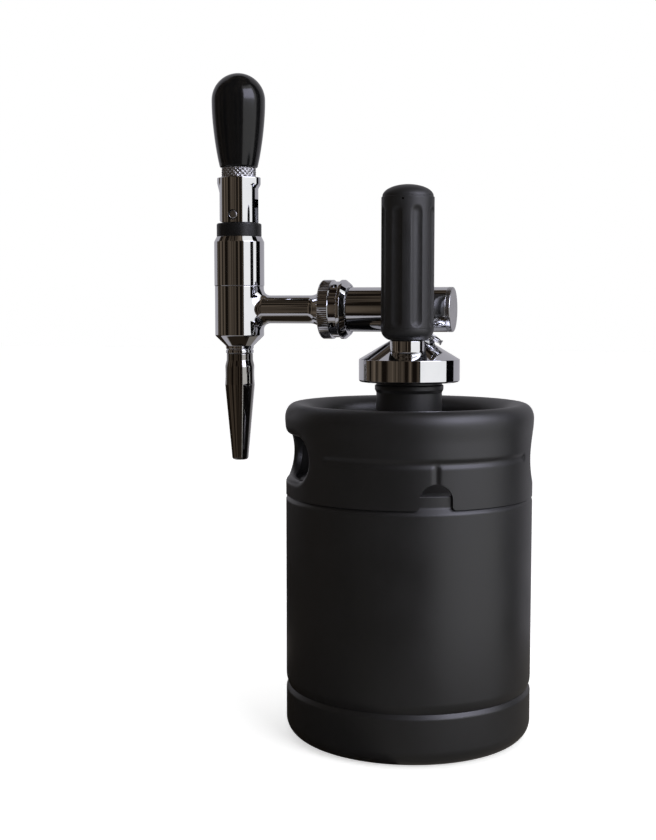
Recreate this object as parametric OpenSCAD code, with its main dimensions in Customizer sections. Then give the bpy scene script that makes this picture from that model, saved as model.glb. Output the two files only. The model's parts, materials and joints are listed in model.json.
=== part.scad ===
// Nitro cold brew dispenser: a small steel keg with a screw lid that carries a gas charger,
// a relief valve and a stout tap. Millimetres, +Z up, origin on the floor at the keg's axis.
// The lid's pipe runs along X, with the tap at -X. The charger stands on the -Y side.

/* [Keg] */
// Outside diameter of the keg
keg_d = 130; // [120:1:140]
// Height of the rolled rim's crest above the floor
rim_z = 176.5; // [172:0.5:182]
// Height of the top chime from its seam to the rim's crest
chime_h = 48; // [46:0.5:52]
// Height of the groove above the base chime
groove_z = 27.5; // [24:0.5:32]
// Depth of the seam and of the groove
seam_depth = 1; // [0.8:0.1:1.4]
// Wall of the vessel
vessel_t = 1.2; // [0.8:0.1:2]
// Wall of the two chimes
chime_t = 1.8; // [1.4:0.1:2.2]
// Corner radius of the vessel's shoulders
shoulder_r = 14; // [12:0.5:16]
// Rise of each domed end above its shoulder's centre
dome_rise = 28.7; // [26:0.1:30]
// Outer radius of the rolled rim's section
roll_r = 7.5; // [6:0.1:8.5]
// How far the rolled rim stands proud of the wall
roll_proud = 0.5; // [0.3:0.1:0.9]
// Radius of the foot's edge
foot_r = 9; // [7:0.5:11]
// Inner radius of the foot's flat ring
foot_in_r = 47; // [42:1:50]
// Polar angle of one hand hole
hand_a = 24; // [14:1:34]
// Width of a hand hole along the wall
hand_w = 56; // [46:1:60]
// Height of a hand hole
hand_h = 22.5; // [18:0.5:24]
// Depth of the hand holes' centres below the rim's crest
hand_drop = 27.2; // [26:0.1:30]
// Depth of the hem round a hand hole
hem_depth = 5; // [3:0.5:7]
// Width of the pressed bead in the chime
bead_w = 4.9; // [4:0.1:6]
// Depth of the pressed bead
bead_depth = 0.9; // [0.6:0.1:1]
// Half the angle that the pressed bead spans
bead_span = 51; // [40:1:54]
// Width of the arched notch at the seam
notch_w = 16.7; // [12:0.1:20]
// Height of the arched notch above the seam
notch_h = 12.9; // [11:0.1:15]

/* [Neck and lid] */
// Outside diameter of the neck
neck_d = 34.6; // [33:0.1:35.4]
// Bore of the neck
neck_bore = 28; // [27:0.1:29.5]
// Height of the neck's top above the rim
neck_rise = 19.5; // [18:0.5:22]
// Diameter of the neck's thread and its bead
neck_thread_d = 36.2; // [35.8:0.1:36.6]
// Diameter of the lid cap's band
cap_d = 53.1; // [50:0.1:56]
// Height of the lid cap's band
band_h = 11.9; // [11:0.1:13]
// How far the band reaches down over the neck
cap_skirt = 8.4; // [7.5:0.1:9]
// Height of the lid cap's cone
cone_h = 10; // [9:0.1:11.5]
// Radius of the flat on top of the cone
cone_top_r = 9.5; // [8:0.1:11]
// Thickness of the lid gasket
gasket_t = 2; // [1.6:0.1:2.4]
// Lead of the neck's thread
neck_lead = 4; // [3.6:0.1:4.2]

/* [Pipe and dip tube] */
// Diameter of the pipe across the lid
pipe_d = 23.8; // [22.6:0.1:24.4]
// Bore of the pipe
pipe_bore = 18; // [16:0.1:19]
// Pipe axis behind the keg's axis
pipe_y = 11; // [10.6:0.1:12]
// Pipe axis above the cone's flat
pipe_rise = 15.9; // [15.4:0.1:18]
// X of the pipe's plain end
pipe_end = 21.5; // [19:0.5:26]
// X of the pipe's threaded end
shank_x = -35.4; // [-39:0.1:-34]
// Diameter of the stem between pipe and lid
stem_d = 10.8; // [10:0.1:11.2]
// Diameter of the stem's thread through the lid
stem_thread_d = 8.8; // [8.4:0.1:9.2]
// Outside diameter of the dip tube
dip_d = 6; // [5:0.1:6.4]
// Bore of the dip tube
dip_bore = 4.6; // [3.6:0.1:4.8]
// Gap between the dip tube's end and the vessel's floor
dip_gap = 3; // [2:0.5:6]

/* [Charger] */
// X of the charger's axis
charger_x = 2.2; // [0:0.1:3]
// Y of the charger's axis
charger_y = -15.5; // [-17:0.1:-15.2]
// Diameter of the charger's sleeve
sleeve_d = 27.2; // [26.4:0.1:27.8]
// Height of the charger's base cup
base_h = 6; // [5.6:0.1:6.6]
// Edge radius of the base cup
base_r = 4.6; // [3:0.1:5.2]
// Height of the sleeve's shoulder above the hollow for the cartridge
sleeve_over = 0.75; // [0.4:0.05:3]
// Height of the domed top above the shoulder
sleeve_dome = 6.4; // [6:0.1:8]
// Number of flutes round the sleeve
flutes = 8; // [6:1:10]
// Depth of a flute
flute_depth = 1.1; // [0.6:0.1:1.3]
// Width of a flute
flute_w = 6; // [4:0.1:6.4]
// Diameter of the boss under the charger
boss_d = 17.8; // [16:0.1:18]
// Diameter of the gas cartridge
cartridge_d = 18; // [17:0.1:18.4]
// Length of the gas cartridge
cartridge_l = 65.5; // [64:0.1:66]

/* [Tap] */
// X of the tap's axis
tap_x = -98.2; // [-104:0.1:-96]
// Diameter of the tap's body
tap_d = 27; // [26:0.1:28]
// Diameter of the bonnet
bonnet_d = 27.5; // [26.5:0.1:28.5]
// Height of the bonnet
bonnet_h = 27; // [25.6:0.1:29]
// Top of the body above the pipe's axis
body_up = 12.8; // [12:0.1:14]
// Lower edge of the body under the pipe's axis
body_down = 14.4; // [13.8:0.1:15]
// Height of the cone under the body
body_cone = 5.6; // [5:0.1:7]
// Diameter of the tail pipe
tail_d = 15.2; // [14:0.1:16]
// Bore of the tail pipe
tail_bore = 9; // [7:0.1:9.6]
// Diameter of the coupling nut
nut_d = 31.9; // [31:0.1:33]
// Length of the coupling nut
nut_l = 15; // [14.4:0.1:16]
// Length of the nozzle
nozzle_l = 59.1; // [56:0.1:64]
// Diameter of the nozzle's top
nozzle_top_d = 14.9; // [14.2:0.1:15.4]
// Widest diameter of the nozzle
nozzle_max_d = 16.6; // [15.8:0.1:17.4]
// Diameter of the nozzle's tip
nozzle_tip_d = 9.2; // [8.6:0.1:10]

/* [Lever] */
// Diameter of the black washer on the bonnet
washer_d = 24.6; // [24:0.1:26]
// Height of the black washer
washer_h = 7.2; // [6.4:0.1:7.6]
// Diameter of the lever's yoke
yoke_d = 21.3; // [20.8:0.1:22.4]
// Height of the lever's yoke
yoke_h = 24.7; // [24:0.1:27]
// Diameter of the yoke's top flange
flange_d = 24.4; // [23:0.1:25]
// Diameter of the cross pin
pin_d = 5.5; // [5:0.1:5.6]
// Height of the cross pin above the washer
pin_rise = 4.3; // [4.2:0.1:5]
// Plunger lift for one radian of lever tilt
cam_k = 6; // [5:0.1:6.2]
// Largest tilt of the lever
tilt_max = 50; // [40:1:50]
// Diameter of the plunger's shaft
shaft_d = 10; // [9:0.1:10.4]
// Diameter of the knurled ring under the handle
lock_d = 19; // [17:0.1:21]
// Height of the knurled ring
lock_h = 5.2; // [4:0.1:6]
// Greatest diameter of the handle
handle_d = 29.2; // [27:0.1:31]
// Diameter of the handle's bottom
handle_low_d = 20.5; // [19:0.1:22]
// Height of the handle
handle_h = 50.8; // [46:0.1:56]

/* [Relief valve] */
// X of the relief valve
relief_x = 9.5; // [9.2:0.1:9.8]
// Y of the relief valve
relief_y = -1; // [-1.4:0.1:-0.8]
// Width across the corners of its hexagon
relief_hex = 8.5; // [7.6:0.1:8.7]
// Radius of the pull ring's wire circle
ring_r = 4.5; // [4.1:0.1:4.6]
// Wire of the pull ring
ring_wire = 0.9; // [0.7:0.1:0.9]
// Gap between the pull ring's turns
ring_gap = 0.45; // [0.42:0.01:0.5]
// Angle of the pull ring below the horizontal at rest
ring_dip = 32; // [30:1:34]
// Direction in which the pull ring lies
ring_a = 2; // [-4:1:8]

/* [Fits] */
// Radial clearance of a running fit
run_gap = 0.06; // [0.03:0.01:0.08]
// Clearance of parts that are pressed, screwed or brazed together
seat_gap = 0.02; // [0.01:0.01:0.04]
// Clearance between faces that meet end to end
face_gap = 0.05; // [0.03:0.01:0.1]

/* [Hidden] */
$fn = 96;
keg_r = keg_d / 2;
seam_z = rim_z - chime_h;
hand_z = rim_z - hand_drop;
// Vessel: shoulder centres, dome radius and dome centre distance
drop = sqrt(pow(shoulder_r, 2) - pow(shoulder_r - seam_depth, 2));
kc_r = keg_r - shoulder_r;
kt = seam_z - drop;
kb = groove_z + drop;
dome_q = dome_rise - shoulder_r;
dome_c = (kc_r * kc_r - dome_q * dome_q) / (2 * dome_q);
dome_r = dome_rise + dome_c;
floor_z = kb - dome_rise + vessel_t;
roll_c = keg_r + roll_proud - roll_r;
roll_z = rim_z - roll_r;
hand_as = [hand_a, hand_a + 180];
bead_as = [hand_a - 90, hand_a + 90];
bead_z = hand_z + 1.7;
bead_r = (pow(bead_w / 2, 2) + pow(bead_depth, 2)) / (2 * bead_depth);
bead_c = keg_r - bead_depth + bead_r;

// Neck and lid heights
neck_r = neck_d / 2;
neck_in = neck_bore / 2;
thread_r = neck_thread_d / 2;
neck_top = rim_z + neck_rise;
neck_low = kt + dome_rise - 6;
cap_z = neck_top - cap_skirt;
cap_in = thread_r + run_gap;
ceil_z = neck_top + gasket_t;
band_z = cap_z + band_h;
cone_z = band_z + cone_h;
cap_r = cap_d / 2;
cone_slope = cone_h / (cap_r - cone_top_r);

// Pipe and stem
pipe_r = pipe_d / 2;
pipe_z = cone_z + pipe_rise;
bore_r = pipe_bore / 2;
plug_head = 2.5;
plug_l = 7;
plug_groove = 2;
plug_deep = 1.6;
plug_edge = 0.7;
plug_x = pipe_end - plug_head;
plug_in = plug_x - plug_l;
plug_seal_x = plug_x - 2 * plug_groove;
stem_x = -4;
stem_y = 6;
stem_r = stem_d / 2;
stem_seat = cone_z - 1.9;
stem_thread_r = stem_thread_d / 2;
stem_low = ceil_z - 5.4;
stem_nut_r = 6.2;
dip_r = dip_d / 2;
dip_top = stem_low + 10;
dip_low = floor_z + dip_gap;

// Charger heights
boss_r = boss_d / 2;
boss_z = band_z + 1.1;
boss_top = cone_z + 0.1;
spigot_r = 5;
pin_hole = 4.4;
pin_seat = 6.2;
pin_bore_r = 0.45;
pin_shank_r = 1.2;
pin_head_r = 3;
pin_reach = 3;
spigot_z = boss_top + 4.4;
base_z = boss_top + face_gap;
base_top = boss_top + base_h;
sleeve_r = sleeve_d / 2;
sleeve_z = base_top + 0.1;
sleeve_thread = sleeve_r - flute_depth - 1.7;
base_thread_top = base_top + 8.4;
cup_r = 6.2;
seal_z = spigot_z + 0.7;
seal_t = 1.4;
cart_r = cartridge_d / 2;
cart_z = seal_z + seal_t + face_gap;
cart_top = cart_z + cartridge_l;
cavity_r = cart_r + 0.4;
cavity_top = cart_top + 0.3;
sleeve_shoulder = cavity_top + sleeve_over;
sleeve_l = sleeve_shoulder - sleeve_z;
sleeve_top = sleeve_shoulder + sleeve_dome;
flute_r = (pow(flute_w / 2, 2) + pow(flute_depth * 0.7, 2)) / (1.4 * flute_depth);
flute_c = sleeve_r - flute_depth + flute_r;
flute_a = -57.5;
vent_a = -88.5;

// Tap heights
tap_y = pipe_y;
tap_r = tap_d / 2;
body_top = pipe_z + body_up;
body_low = pipe_z - body_down;
cone_low = body_low - body_cone;
collar_low = cone_low - 4.1;
tap_spigot = collar_low - 9.3;
seat_z = body_low + 1;
chamber_r = 8.05;
outlet_r = 4;
collar_r = 7.65;
tap_neck_r = tap_r - 2.5;
tap_neck_top = body_top + 15.8;
bonnet_r = bonnet_d / 2;
bonnet_top = body_top + bonnet_h;
bonnet_gasket_z = tap_neck_top + face_gap;
bonnet_plate = tap_neck_top + 3;
washer_r = washer_d / 2;
washer_z = bonnet_top + face_gap;
washer_top = bonnet_top + washer_h;

// Coupling
nut_r = nut_d / 2;
nut_x = shank_x - nut_l + 0.4;
shank_r = nut_r - 2.9;
nut_lip = 3;
tail_r = tail_d / 2;
tail_in = tail_bore / 2;
tail_lip_r = shank_r - 0.4;
tail_neck_r = tail_r + 2.4;
tail_x = nut_x + nut_lip + face_gap;
tail_end = tail_x + 2.3;
joint_x = tail_end + 2.2;

// Nozzle and its insides
nozzle_top = collar_low - 0.1;
nozzle_low = nozzle_top - nozzle_l;
nozzle_wide = nozzle_top - 17.1;
nozzle_tip_r = nozzle_tip_d / 2;
spigot_out = 5.5;
disc_z = tap_spigot - 4.55;
disc_t = 1.95;
nozzle_bore_r = 4.9;
vane_w = 5.2;
vane_t = 0.9;
vane_low = nozzle_low + 12;
hub_r = nozzle_bore_r - 0.3;
hub_h = 2.5;
hub_z = disc_z - 4;

// Lever
pin_r = pin_d / 2;
pin_z = washer_top + pin_rise;
cam_h = pin_rise - 0.1;
yoke_r = yoke_d / 2;
flange_r = flange_d / 2;
yoke_z = pin_z - cam_h;
yoke_top = yoke_z + yoke_h;
shaft_r = shaft_d / 2;
tang_t = 6;
tang_up = 5.2;
slot_up = 8.6;
tang_low = pin_z - cam_h - cam_k * tilt_max * PI / 180 - 0.7;
lift_max = cam_k * tilt_max * PI / 180;
piston_z = pipe_z + 12.6;
piston_h = 12;
piston_r = chamber_r - 0.1;
groove_r = 6.3;
seal_zs = [piston_z + 3, piston_z + 8.5];
stud_r = 4;
lock_z = yoke_top + 0.1;
handle_z = lock_z + lock_h + 0.1;
handle_r = handle_d / 2;
handle_top = handle_z + handle_h;
dome_top_z = handle_top - handle_r;
handle_low_r = handle_low_d / 2;
handle_fall = dome_top_z - handle_z;
handle_in = handle_r - handle_low_r;
handle_side = (handle_fall * handle_fall + handle_in * handle_in) / (2 * handle_in);
insert_r = 6;
insert_l = 17;

// Relief valve
relief_seat = band_z + 7.3;
relief_low = ceil_z - 0.6;
relief_hole = 3.5;
chamber_top = relief_seat + 2.2;
relief_top = relief_seat + 3.35;
eye_r = 2.5;
eye_hole = 1.45;
eye_z = relief_top + eye_r + 0.3;
poppet_z = relief_low + 3.2;
spring_low = poppet_z + 1.1;
spring_top = chamber_top - 0.1;
ring_pitch = ring_wire + ring_gap;
ring_steps = 48;
spring_wire = 0.55;
spring_r = 1.75;
spring_turns = 6;
spring_steps = 8 * spring_turns;

// Shared shapes
module at(x, y) translate([x, y, 0]) children();
module at_tap() translate([tap_x, tap_y, 0]) children();
// Lays a turned shape along X on the pipe's axis: heights become X
module along_pipe() translate([0, pipe_y, pipe_z]) rotate([0, 90, 0]) children();
// A body turned from points given as radius and height
module turned(points) rotate_extrude() polygon(points);
module ring(r_in, r_out, z, h) translate([0, 0, z]) difference() {
    cylinder(r = r_out, h = h);
    translate([0, 0, -1]) cylinder(r = r_in, h = h + 2);
}
// A round seal: circle radius, section radius and height
module o_ring(r, s, z) translate([0, 0, z]) rotate_extrude() translate([r, 0]) circle(s);
module stadium(w, h) {
    square([w - h, h], center = true);
    for (s = [-1, 1]) translate([s * (w - h) / 2, 0]) circle(d = h);
}
// Cuts outwards through the keg's wall at a polar angle
module through_wall(a, z, from, depth) rotate([0, 0, a]) translate([from, 0, z])
    rotate([90, 0, 90]) linear_extrude(depth) children();
// A round tube along points, with its sides turned from a first direction
function ring_points(p, t, up, r, n) =
    let (s = cross(t, up) / norm(cross(t, up)), u = cross(s, t))
    [for (i = [0 : n - 1]) p + r * (cos(i * 360 / n) * s + sin(i * 360 / n) * u)];
module tube(path, ups, r, n) {
    m = len(path);
    tangents = [for (i = [0 : m - 1])
        let (d = path[min(i + 1, m - 1)] - path[max(i - 1, 0)]) d / norm(d)];
    pts = [for (i = [0 : m - 1]) each ring_points(path[i], tangents[i], ups[i], r, n)];
    sides = [for (i = [0 : m - 2]) for (j = [0 : n - 1]) each [
        [i * n + j, (i + 1) * n + j, (i + 1) * n + (j + 1) % n],
        [i * n + j, (i + 1) * n + (j + 1) % n, i * n + (j + 1) % n]]];
    ends = [[for (j = [0 : n - 1]) j], [for (j = [0 : n - 1]) m * n - 1 - j]];
    polyhedron(points = pts, faces = concat(sides, ends), convexity = 6);
}

// Vessel: section with domed ends and rounded shoulders, drawn in by an inset
module shoulder_cut(z, s) {
    d = [kc_r, s * dome_c] / norm([kc_r, dome_c]);
    polygon([[kc_r, z], [kc_r + 60, z], [kc_r + 60, z + s * 120], [kc_r, z] + 60 * d]);
}
module vessel_outline(inset) {
    difference() {
        intersection() {
            square([keg_r - inset, 2 * rim_z]);
            translate([0, kt - dome_c]) circle(dome_r - inset);
            translate([0, kb + dome_c]) circle(dome_r - inset);
        }
        shoulder_cut(kt, 1);
        shoulder_cut(kb, -1);
    }
    for (z = [kt, kb]) translate([kc_r, z]) circle(shoulder_r - inset);
}
module keg_vessel() color("#1d1d1f") rotate_extrude() difference() {
    vessel_outline(0);
    vessel_outline(vessel_t);
    translate([0, kt]) square([neck_r + seat_gap, 2 * dome_rise]);
}

// Top chime: wall, rolled rim, hand holes with hems, pressed beads and notches
module chime_section() difference() {
    union() {
        translate([keg_r - chime_t, seam_z]) square([chime_t, roll_z - seam_z + 0.2]);
        difference() {
            translate([roll_c, roll_z]) circle(roll_r);
            translate([roll_c, roll_z]) circle(roll_r - chime_t);
            translate([0, roll_z - 2 * roll_r]) square([roll_c, 2 * roll_r]);
            translate([0, roll_z - 2 * roll_r]) square([2 * keg_r, 2 * roll_r - 3]);
        }
        translate([roll_c - roll_r, roll_z - 5]) square([chime_t, 5.2]);
    }
    vessel_outline(-seat_gap);
}
module hand_hem(a) intersection() {
    through_wall(a, hand_z, keg_r - 16, 20) difference() {
        stadium(hand_w + 2 * chime_t, hand_h + 2 * chime_t);
        stadium(hand_w, hand_h);
    }
    ring(keg_r - hem_depth, keg_r - 0.6, seam_z, roll_z - seam_z);
}
module pressed_bead(a) {
    rotate([0, 0, a - bead_span]) rotate_extrude(angle = 2 * bead_span)
        translate([bead_c, bead_z]) circle(bead_r);
    for (s = [-1, 1]) rotate([0, 0, a + s * bead_span]) translate([bead_c, 0, bead_z]) sphere(bead_r);
    rotate([0, 0, a]) translate([bead_c, 0, seam_z + notch_h - 1])
        cylinder(r = bead_r, h = bead_z - seam_z - notch_h + 1);
}
module top_chime() color("#1d1d1f") {
    difference() {
        rotate_extrude() chime_section();
        for (a = hand_as) through_wall(a, hand_z, keg_r - 16, 24) stadium(hand_w, hand_h);
        for (a = bead_as) {
            pressed_bead(a);
            through_wall(a, seam_z, keg_r - 6, 12) {
                translate([-notch_w / 2, -2]) square([notch_w, notch_h - notch_w / 2 + 2]);
                translate([0, notch_h - notch_w / 2]) circle(d = notch_w);
            }
        }
    }
    for (a = hand_as) hand_hem(a);
}

// Base chime: wall, rounded foot edge and flat foot ring
module base_chime() color("#1d1d1f") rotate_extrude() difference() {
    union() {
        translate([keg_r - chime_t, foot_r]) square([chime_t, groove_z - foot_r]);
        difference() {
            translate([keg_r - foot_r, foot_r]) circle(foot_r);
            translate([keg_r - foot_r, foot_r]) circle(foot_r - chime_t);
            translate([0, foot_r]) square([2 * keg_r, 2 * foot_r]);
            square([keg_r - foot_r, 2 * foot_r]);
        }
        translate([foot_in_r, 0]) square([keg_r - foot_r - foot_in_r + 0.1, chime_t]);
        translate([foot_in_r, 0]) square([chime_t, 2 * chime_t]);
    }
    vessel_outline(-seat_gap);
}

// Neck with its bead and thread ridges
module keg_neck() color("#202022") turned(concat(
    [[neck_in, neck_low], [neck_r, neck_low], [neck_r, rim_z + 5.6], [thread_r, rim_z + 7.2],
     [thread_r, rim_z + 9.2], [neck_r, rim_z + 9.6]],
    [for (i = [0, 1]) each [
        [neck_r, cap_z + 0.8 + neck_lead * i], [thread_r, cap_z + 1.6 + neck_lead * i],
        [thread_r, cap_z + 2.4 + neck_lead * i], [neck_r, cap_z + 3.2 + neck_lead * i]]],
    [[neck_r, neck_top], [neck_in, neck_top]]));

// Lid cap: threaded band under a cone, with seats for the stem, the boss and the relief valve
module gas_channel() {
    from = [charger_x, charger_y, boss_z + 5];
    to = [charger_x - 1.2, charger_y + 9, ceil_z - 1];
    d = to - from;
    translate(from) rotate([0, acos(d[2] / norm(d)), atan2(d[1], d[0])]) cylinder(r = 1, h = norm(d));
}
module lid_cap() color("#c9c9cc") difference() {
    turned([[cap_in, cap_z], [cap_r - 1.2, cap_z], [cap_r, cap_z + 1], [cap_r, band_z - 0.5],
        [cap_r - 0.3, band_z], [cone_top_r + 0.6, cone_z - 0.1], [cone_top_r - 0.4, cone_z], [0, cone_z],
        [0, ceil_z], [cap_in, ceil_z]]);
    at(charger_x, charger_y) translate([0, 0, boss_z]) cylinder(r = boss_r + seat_gap, h = cone_h + 5);
    at(stem_x, stem_y) {
        translate([0, 0, stem_seat]) cylinder(r = stem_r + seat_gap, h = cone_h);
        translate([0, 0, ceil_z - 1]) cylinder(r = stem_thread_r + seat_gap, h = stem_seat - ceil_z + 2);
    }
    at(relief_x, relief_y) {
        translate([0, 0, relief_seat]) cylinder(r = relief_hex / 2 + 0.3, h = cone_h);
        translate([0, 0, ceil_z - 1]) cylinder(r = relief_hole + seat_gap, h = relief_seat - ceil_z + 2);
    }
    gas_channel();
}
module lid_gasket() color("#e8e4da")
    ring(neck_in + 0.2, thread_r - 0.2, neck_top + seat_gap, gasket_t - 2 * seat_gap);

// Pipe across the lid with the stem that carries it
module manifold_pipe() color("#c9c9cc") difference() {
    union() {
        along_pipe() translate([0, 0, shank_x + seat_gap])
            cylinder(r = pipe_r, h = plug_x - shank_x - 2 * seat_gap);
        at(stem_x, stem_y) {
            translate([0, 0, stem_seat + seat_gap]) cylinder(r = stem_r, h = pipe_z - stem_seat - 4);
            translate([0, 0, stem_low]) cylinder(r = stem_thread_r, h = stem_seat - stem_low + 1);
        }
    }
    along_pipe() translate([0, 0, shank_x - 1]) cylinder(r = bore_r, h = plug_x - shank_x + 2);
    at(stem_x, stem_y) {
        translate([0, 0, stem_low - 1]) cylinder(r = dip_r + seat_gap, h = dip_top - stem_low + 1);
        translate([0, 0, stem_low]) cylinder(r = dip_bore / 2, h = pipe_z - stem_low);
    }
}
// Plug that closes the pipe's plain end
module pipe_plug() color("#b4b4b8") along_pipe() turned([[0, plug_in], [bore_r - seat_gap, plug_in],
    [bore_r - seat_gap, plug_seal_x - plug_groove / 2], [bore_r - plug_deep, plug_seal_x - plug_groove / 2],
    [bore_r - plug_deep, plug_seal_x + plug_groove / 2], [bore_r - seat_gap, plug_seal_x + plug_groove / 2],
    [bore_r - seat_gap, plug_x], [pipe_r, plug_x], [pipe_r, pipe_end - plug_edge],
    [pipe_r - plug_edge, pipe_end], [0, pipe_end]]);
module plug_seal() color("#141414") along_pipe()
    o_ring(bore_r - plug_deep / 2 - seat_gap, plug_deep / 2 - 2 * seat_gap, plug_seal_x);
module stem_nut() color("#b4b4b8") at(stem_x, stem_y) difference() {
    translate([0, 0, stem_low + 0.6]) cylinder(r = stem_nut_r, h = 3.6, $fn = 6);
    cylinder(r = stem_thread_r + seat_gap, h = ceil_z);
}
module stem_gasket() color("#e8e4da") at(stem_x, stem_y)
    ring(stem_thread_r + seat_gap, stem_nut_r - 0.6, stem_low + 4.25, 1.1);
module dip_tube() color("#b9bbbd") at(stem_x, stem_y)
    ring(dip_bore / 2, dip_r, dip_low, dip_top - dip_low - seat_gap);
// Threaded end piece of the pipe, which the coupling nut screws on
module shank() color("#c9c9cc") along_pipe() turned([[tail_in, joint_x], [shank_r - 0.6, joint_x],
    [shank_r, joint_x + 0.6], [shank_r, shank_x], [bore_r - seat_gap, shank_x],
    [bore_r - seat_gap, shank_x + 11], [tail_in, shank_x + 11]]);

// Charger: boss, pin and seal under a cup, with the cartridge inside the sleeve
module at_charger() at(charger_x, charger_y) children();
module charger_boss() color("#c9c9cc") difference() {
    at_charger() {
        translate([0, 0, boss_z + seat_gap]) cylinder(r = boss_r, h = boss_top - boss_z - seat_gap);
        translate([0, 0, boss_top - 0.1]) cylinder(r = spigot_r, h = spigot_z - boss_top + 0.1);
    }
    at_charger() translate([0, 0, boss_z + pin_hole]) cylinder(r = pin_shank_r + seat_gap, h = sleeve_d);
    gas_channel();
}
module piercing_pin() color("#d0d0d0") at_charger() turned([[pin_bore_r, boss_z + pin_seat],
    [pin_shank_r, boss_z + pin_seat], [pin_shank_r, spigot_z + seat_gap], [pin_head_r, spigot_z + seat_gap],
    [pin_head_r, seal_z - face_gap], [pin_shank_r, seal_z - face_gap], [pin_shank_r, cart_z + pin_reach / 2],
    [pin_bore_r + 0.15, cart_z + pin_reach], [pin_bore_r, cart_z + pin_reach]]);
module charger_seal() color("#8c2f22") at_charger() ring(1.5, 5.6, seal_z, seal_t);
module charger_base() color("#161617") at_charger() rotate_extrude() difference() {
    union() {
        translate([0, base_z]) square([sleeve_r - base_r, base_top - base_z]);
        translate([0, base_z + base_r]) square([sleeve_r, base_top - base_z - base_r]);
        translate([sleeve_r - base_r, base_z + base_r]) circle(base_r);
        translate([0, base_z + base_r])
            square([sleeve_thread - run_gap, base_thread_top - base_z - base_r]);
    }
    translate([sleeve_thread - run_gap, base_top]) square([sleeve_r, sleeve_l]);
    translate([-sleeve_d, 0]) square([sleeve_d + spigot_r + seat_gap, 2 * base_thread_top]);
    translate([0, spigot_z]) square([cup_r, sleeve_l]);
}
module gas_cartridge() color("#b8babc") at_charger() rotate_extrude() difference() {
    union() {
        polygon([[0, cart_z], [4, cart_z], [4.4, cart_z + 0.5], [4.4, cart_z + 9.5], [cart_r, cart_z + 17],
            [cart_r, cart_top - cart_r], [0, cart_top - cart_r]]);
        intersection() {
            translate([0, cart_top - cart_r]) circle(cart_r);
            translate([0, cart_top - cart_r]) square([cart_r, cart_r]);
        }
    }
    polygon([[0, cart_z - 1], [1.7, cart_z - 1], [1.7, cart_z + 1.2], [2.8, cart_z + 1.2],
        [2.8, cart_z + 9.8], [cart_r - 1.5, cart_z + 17.3], [cart_r - 1.5, cart_top - cart_r],
        [0, cart_top - 1.6]]);
}
module flute(a) rotate([0, 0, a]) translate([flute_c, 0, 0]) {
    z0 = sleeve_z + 0.9 + flute_w / 2;
    z1 = sleeve_shoulder - 5 - flute_w / 2;
    translate([0, 0, z0]) cylinder(r = flute_r, h = z1 - z0);
    for (z = [z0, z1]) translate([0, 0, z]) sphere(flute_r);
}
module charger_sleeve() color("#161617") at_charger() difference() {
    rotate_extrude() difference() {
        union() {
            translate([0, sleeve_z]) square([sleeve_r, sleeve_l]);
            translate([0, sleeve_z]) square([sleeve_r - 0.5 - sleeve_dome, sleeve_l + sleeve_dome]);
            intersection() {
                translate([sleeve_r - 0.5 - sleeve_dome, sleeve_shoulder]) circle(sleeve_dome);
                translate([0, sleeve_z]) square([sleeve_r, 2 * sleeve_l]);
            }
        }
        translate([-50, 0]) square([50 + sleeve_thread, base_thread_top + 1]);
        translate([-50, 0]) square([50 + cavity_r, cavity_top]);
        translate([-50, 0]) square([50, 400]);
    }
    for (i = [0 : flutes - 1]) flute(flute_a + i * 360 / flutes);
    rotate([0, 0, vent_a]) translate([cavity_r - 2, 0, cavity_top - 0.9])
        rotate([0, 90, 0]) cylinder(r = 0.55, h = 12);
}

// Relief valve: hexagon body, seat ring, sprung pin with an eye, and the pull ring
module at_relief() at(relief_x, relief_y) children();
module relief_body() color("#c9c9cc") at_relief() difference() {
    union() {
        translate([0, 0, relief_low]) cylinder(r = relief_hole, h = relief_seat - relief_low + 0.5);
        intersection() {
            translate([0, 0, relief_seat + seat_gap])
                cylinder(r = relief_hex / 2, h = relief_top - relief_seat, $fn = 6);
            turned([[0, relief_seat], [relief_hex / 2, relief_seat], [relief_hex / 2, relief_top - 0.6],
                [relief_hex / 2 - 0.8, relief_top], [0, relief_top]]);
        }
    }
    translate([0, 0, relief_low - 1]) cylinder(r = 2.6, h = chamber_top - relief_low + 1);
    translate([0, 0, relief_low]) cylinder(r = 1 + run_gap, h = 30);
}
module relief_seat_ring() color("#c8a24a") at_relief() ring(1.2, 2.6 - seat_gap, relief_low, 2.2);
module relief_pin() color("#d0d0d0") at_relief() {
    translate([0, 0, poppet_z]) cylinder(r = 2.3, h = 1);
    translate([0, 0, poppet_z + 0.5]) cylinder(r = 1, h = eye_z - poppet_z - 2.5);
    rotate([0, 0, ring_a]) translate([0, 0, eye_z]) rotate([90, 0, 0]) difference() {
        cylinder(r = eye_r, h = 2, center = true);
        cylinder(r = eye_hole, h = 4, center = true);
    }
}
module relief_seal() color("#141414") at_relief() translate([0, 0, relief_low + 2.2 + face_gap])
    cylinder(r = 2.2, h = poppet_z - relief_low - 2.2 - face_gap);
// Least gap of a wire to itself, measured between points at least half a turn apart
function self_gap(path, half, r) = min([for (i = [0 : len(path) - half - 1])
    for (j = [i + half : len(path) - 1]) norm(path[i] - path[j])]) - 2 * r;
// Coil of even pitch between the poppet and the chamber's roof
spring_path = [for (i = [0 : spring_steps])
    let (t = i / spring_steps, a = 360 * spring_turns * t)
    [spring_r * cos(a), spring_r * sin(a),
     spring_low + spring_wire / 2 + 0.02 + (spring_top - spring_low - spring_wire - 0.04) * t]];
module relief_spring() color("#a8aaad") at_relief()
    tube(spring_path, [for (p = spring_path) [0, 0, 1]], spring_wire / 2, 6);
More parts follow.
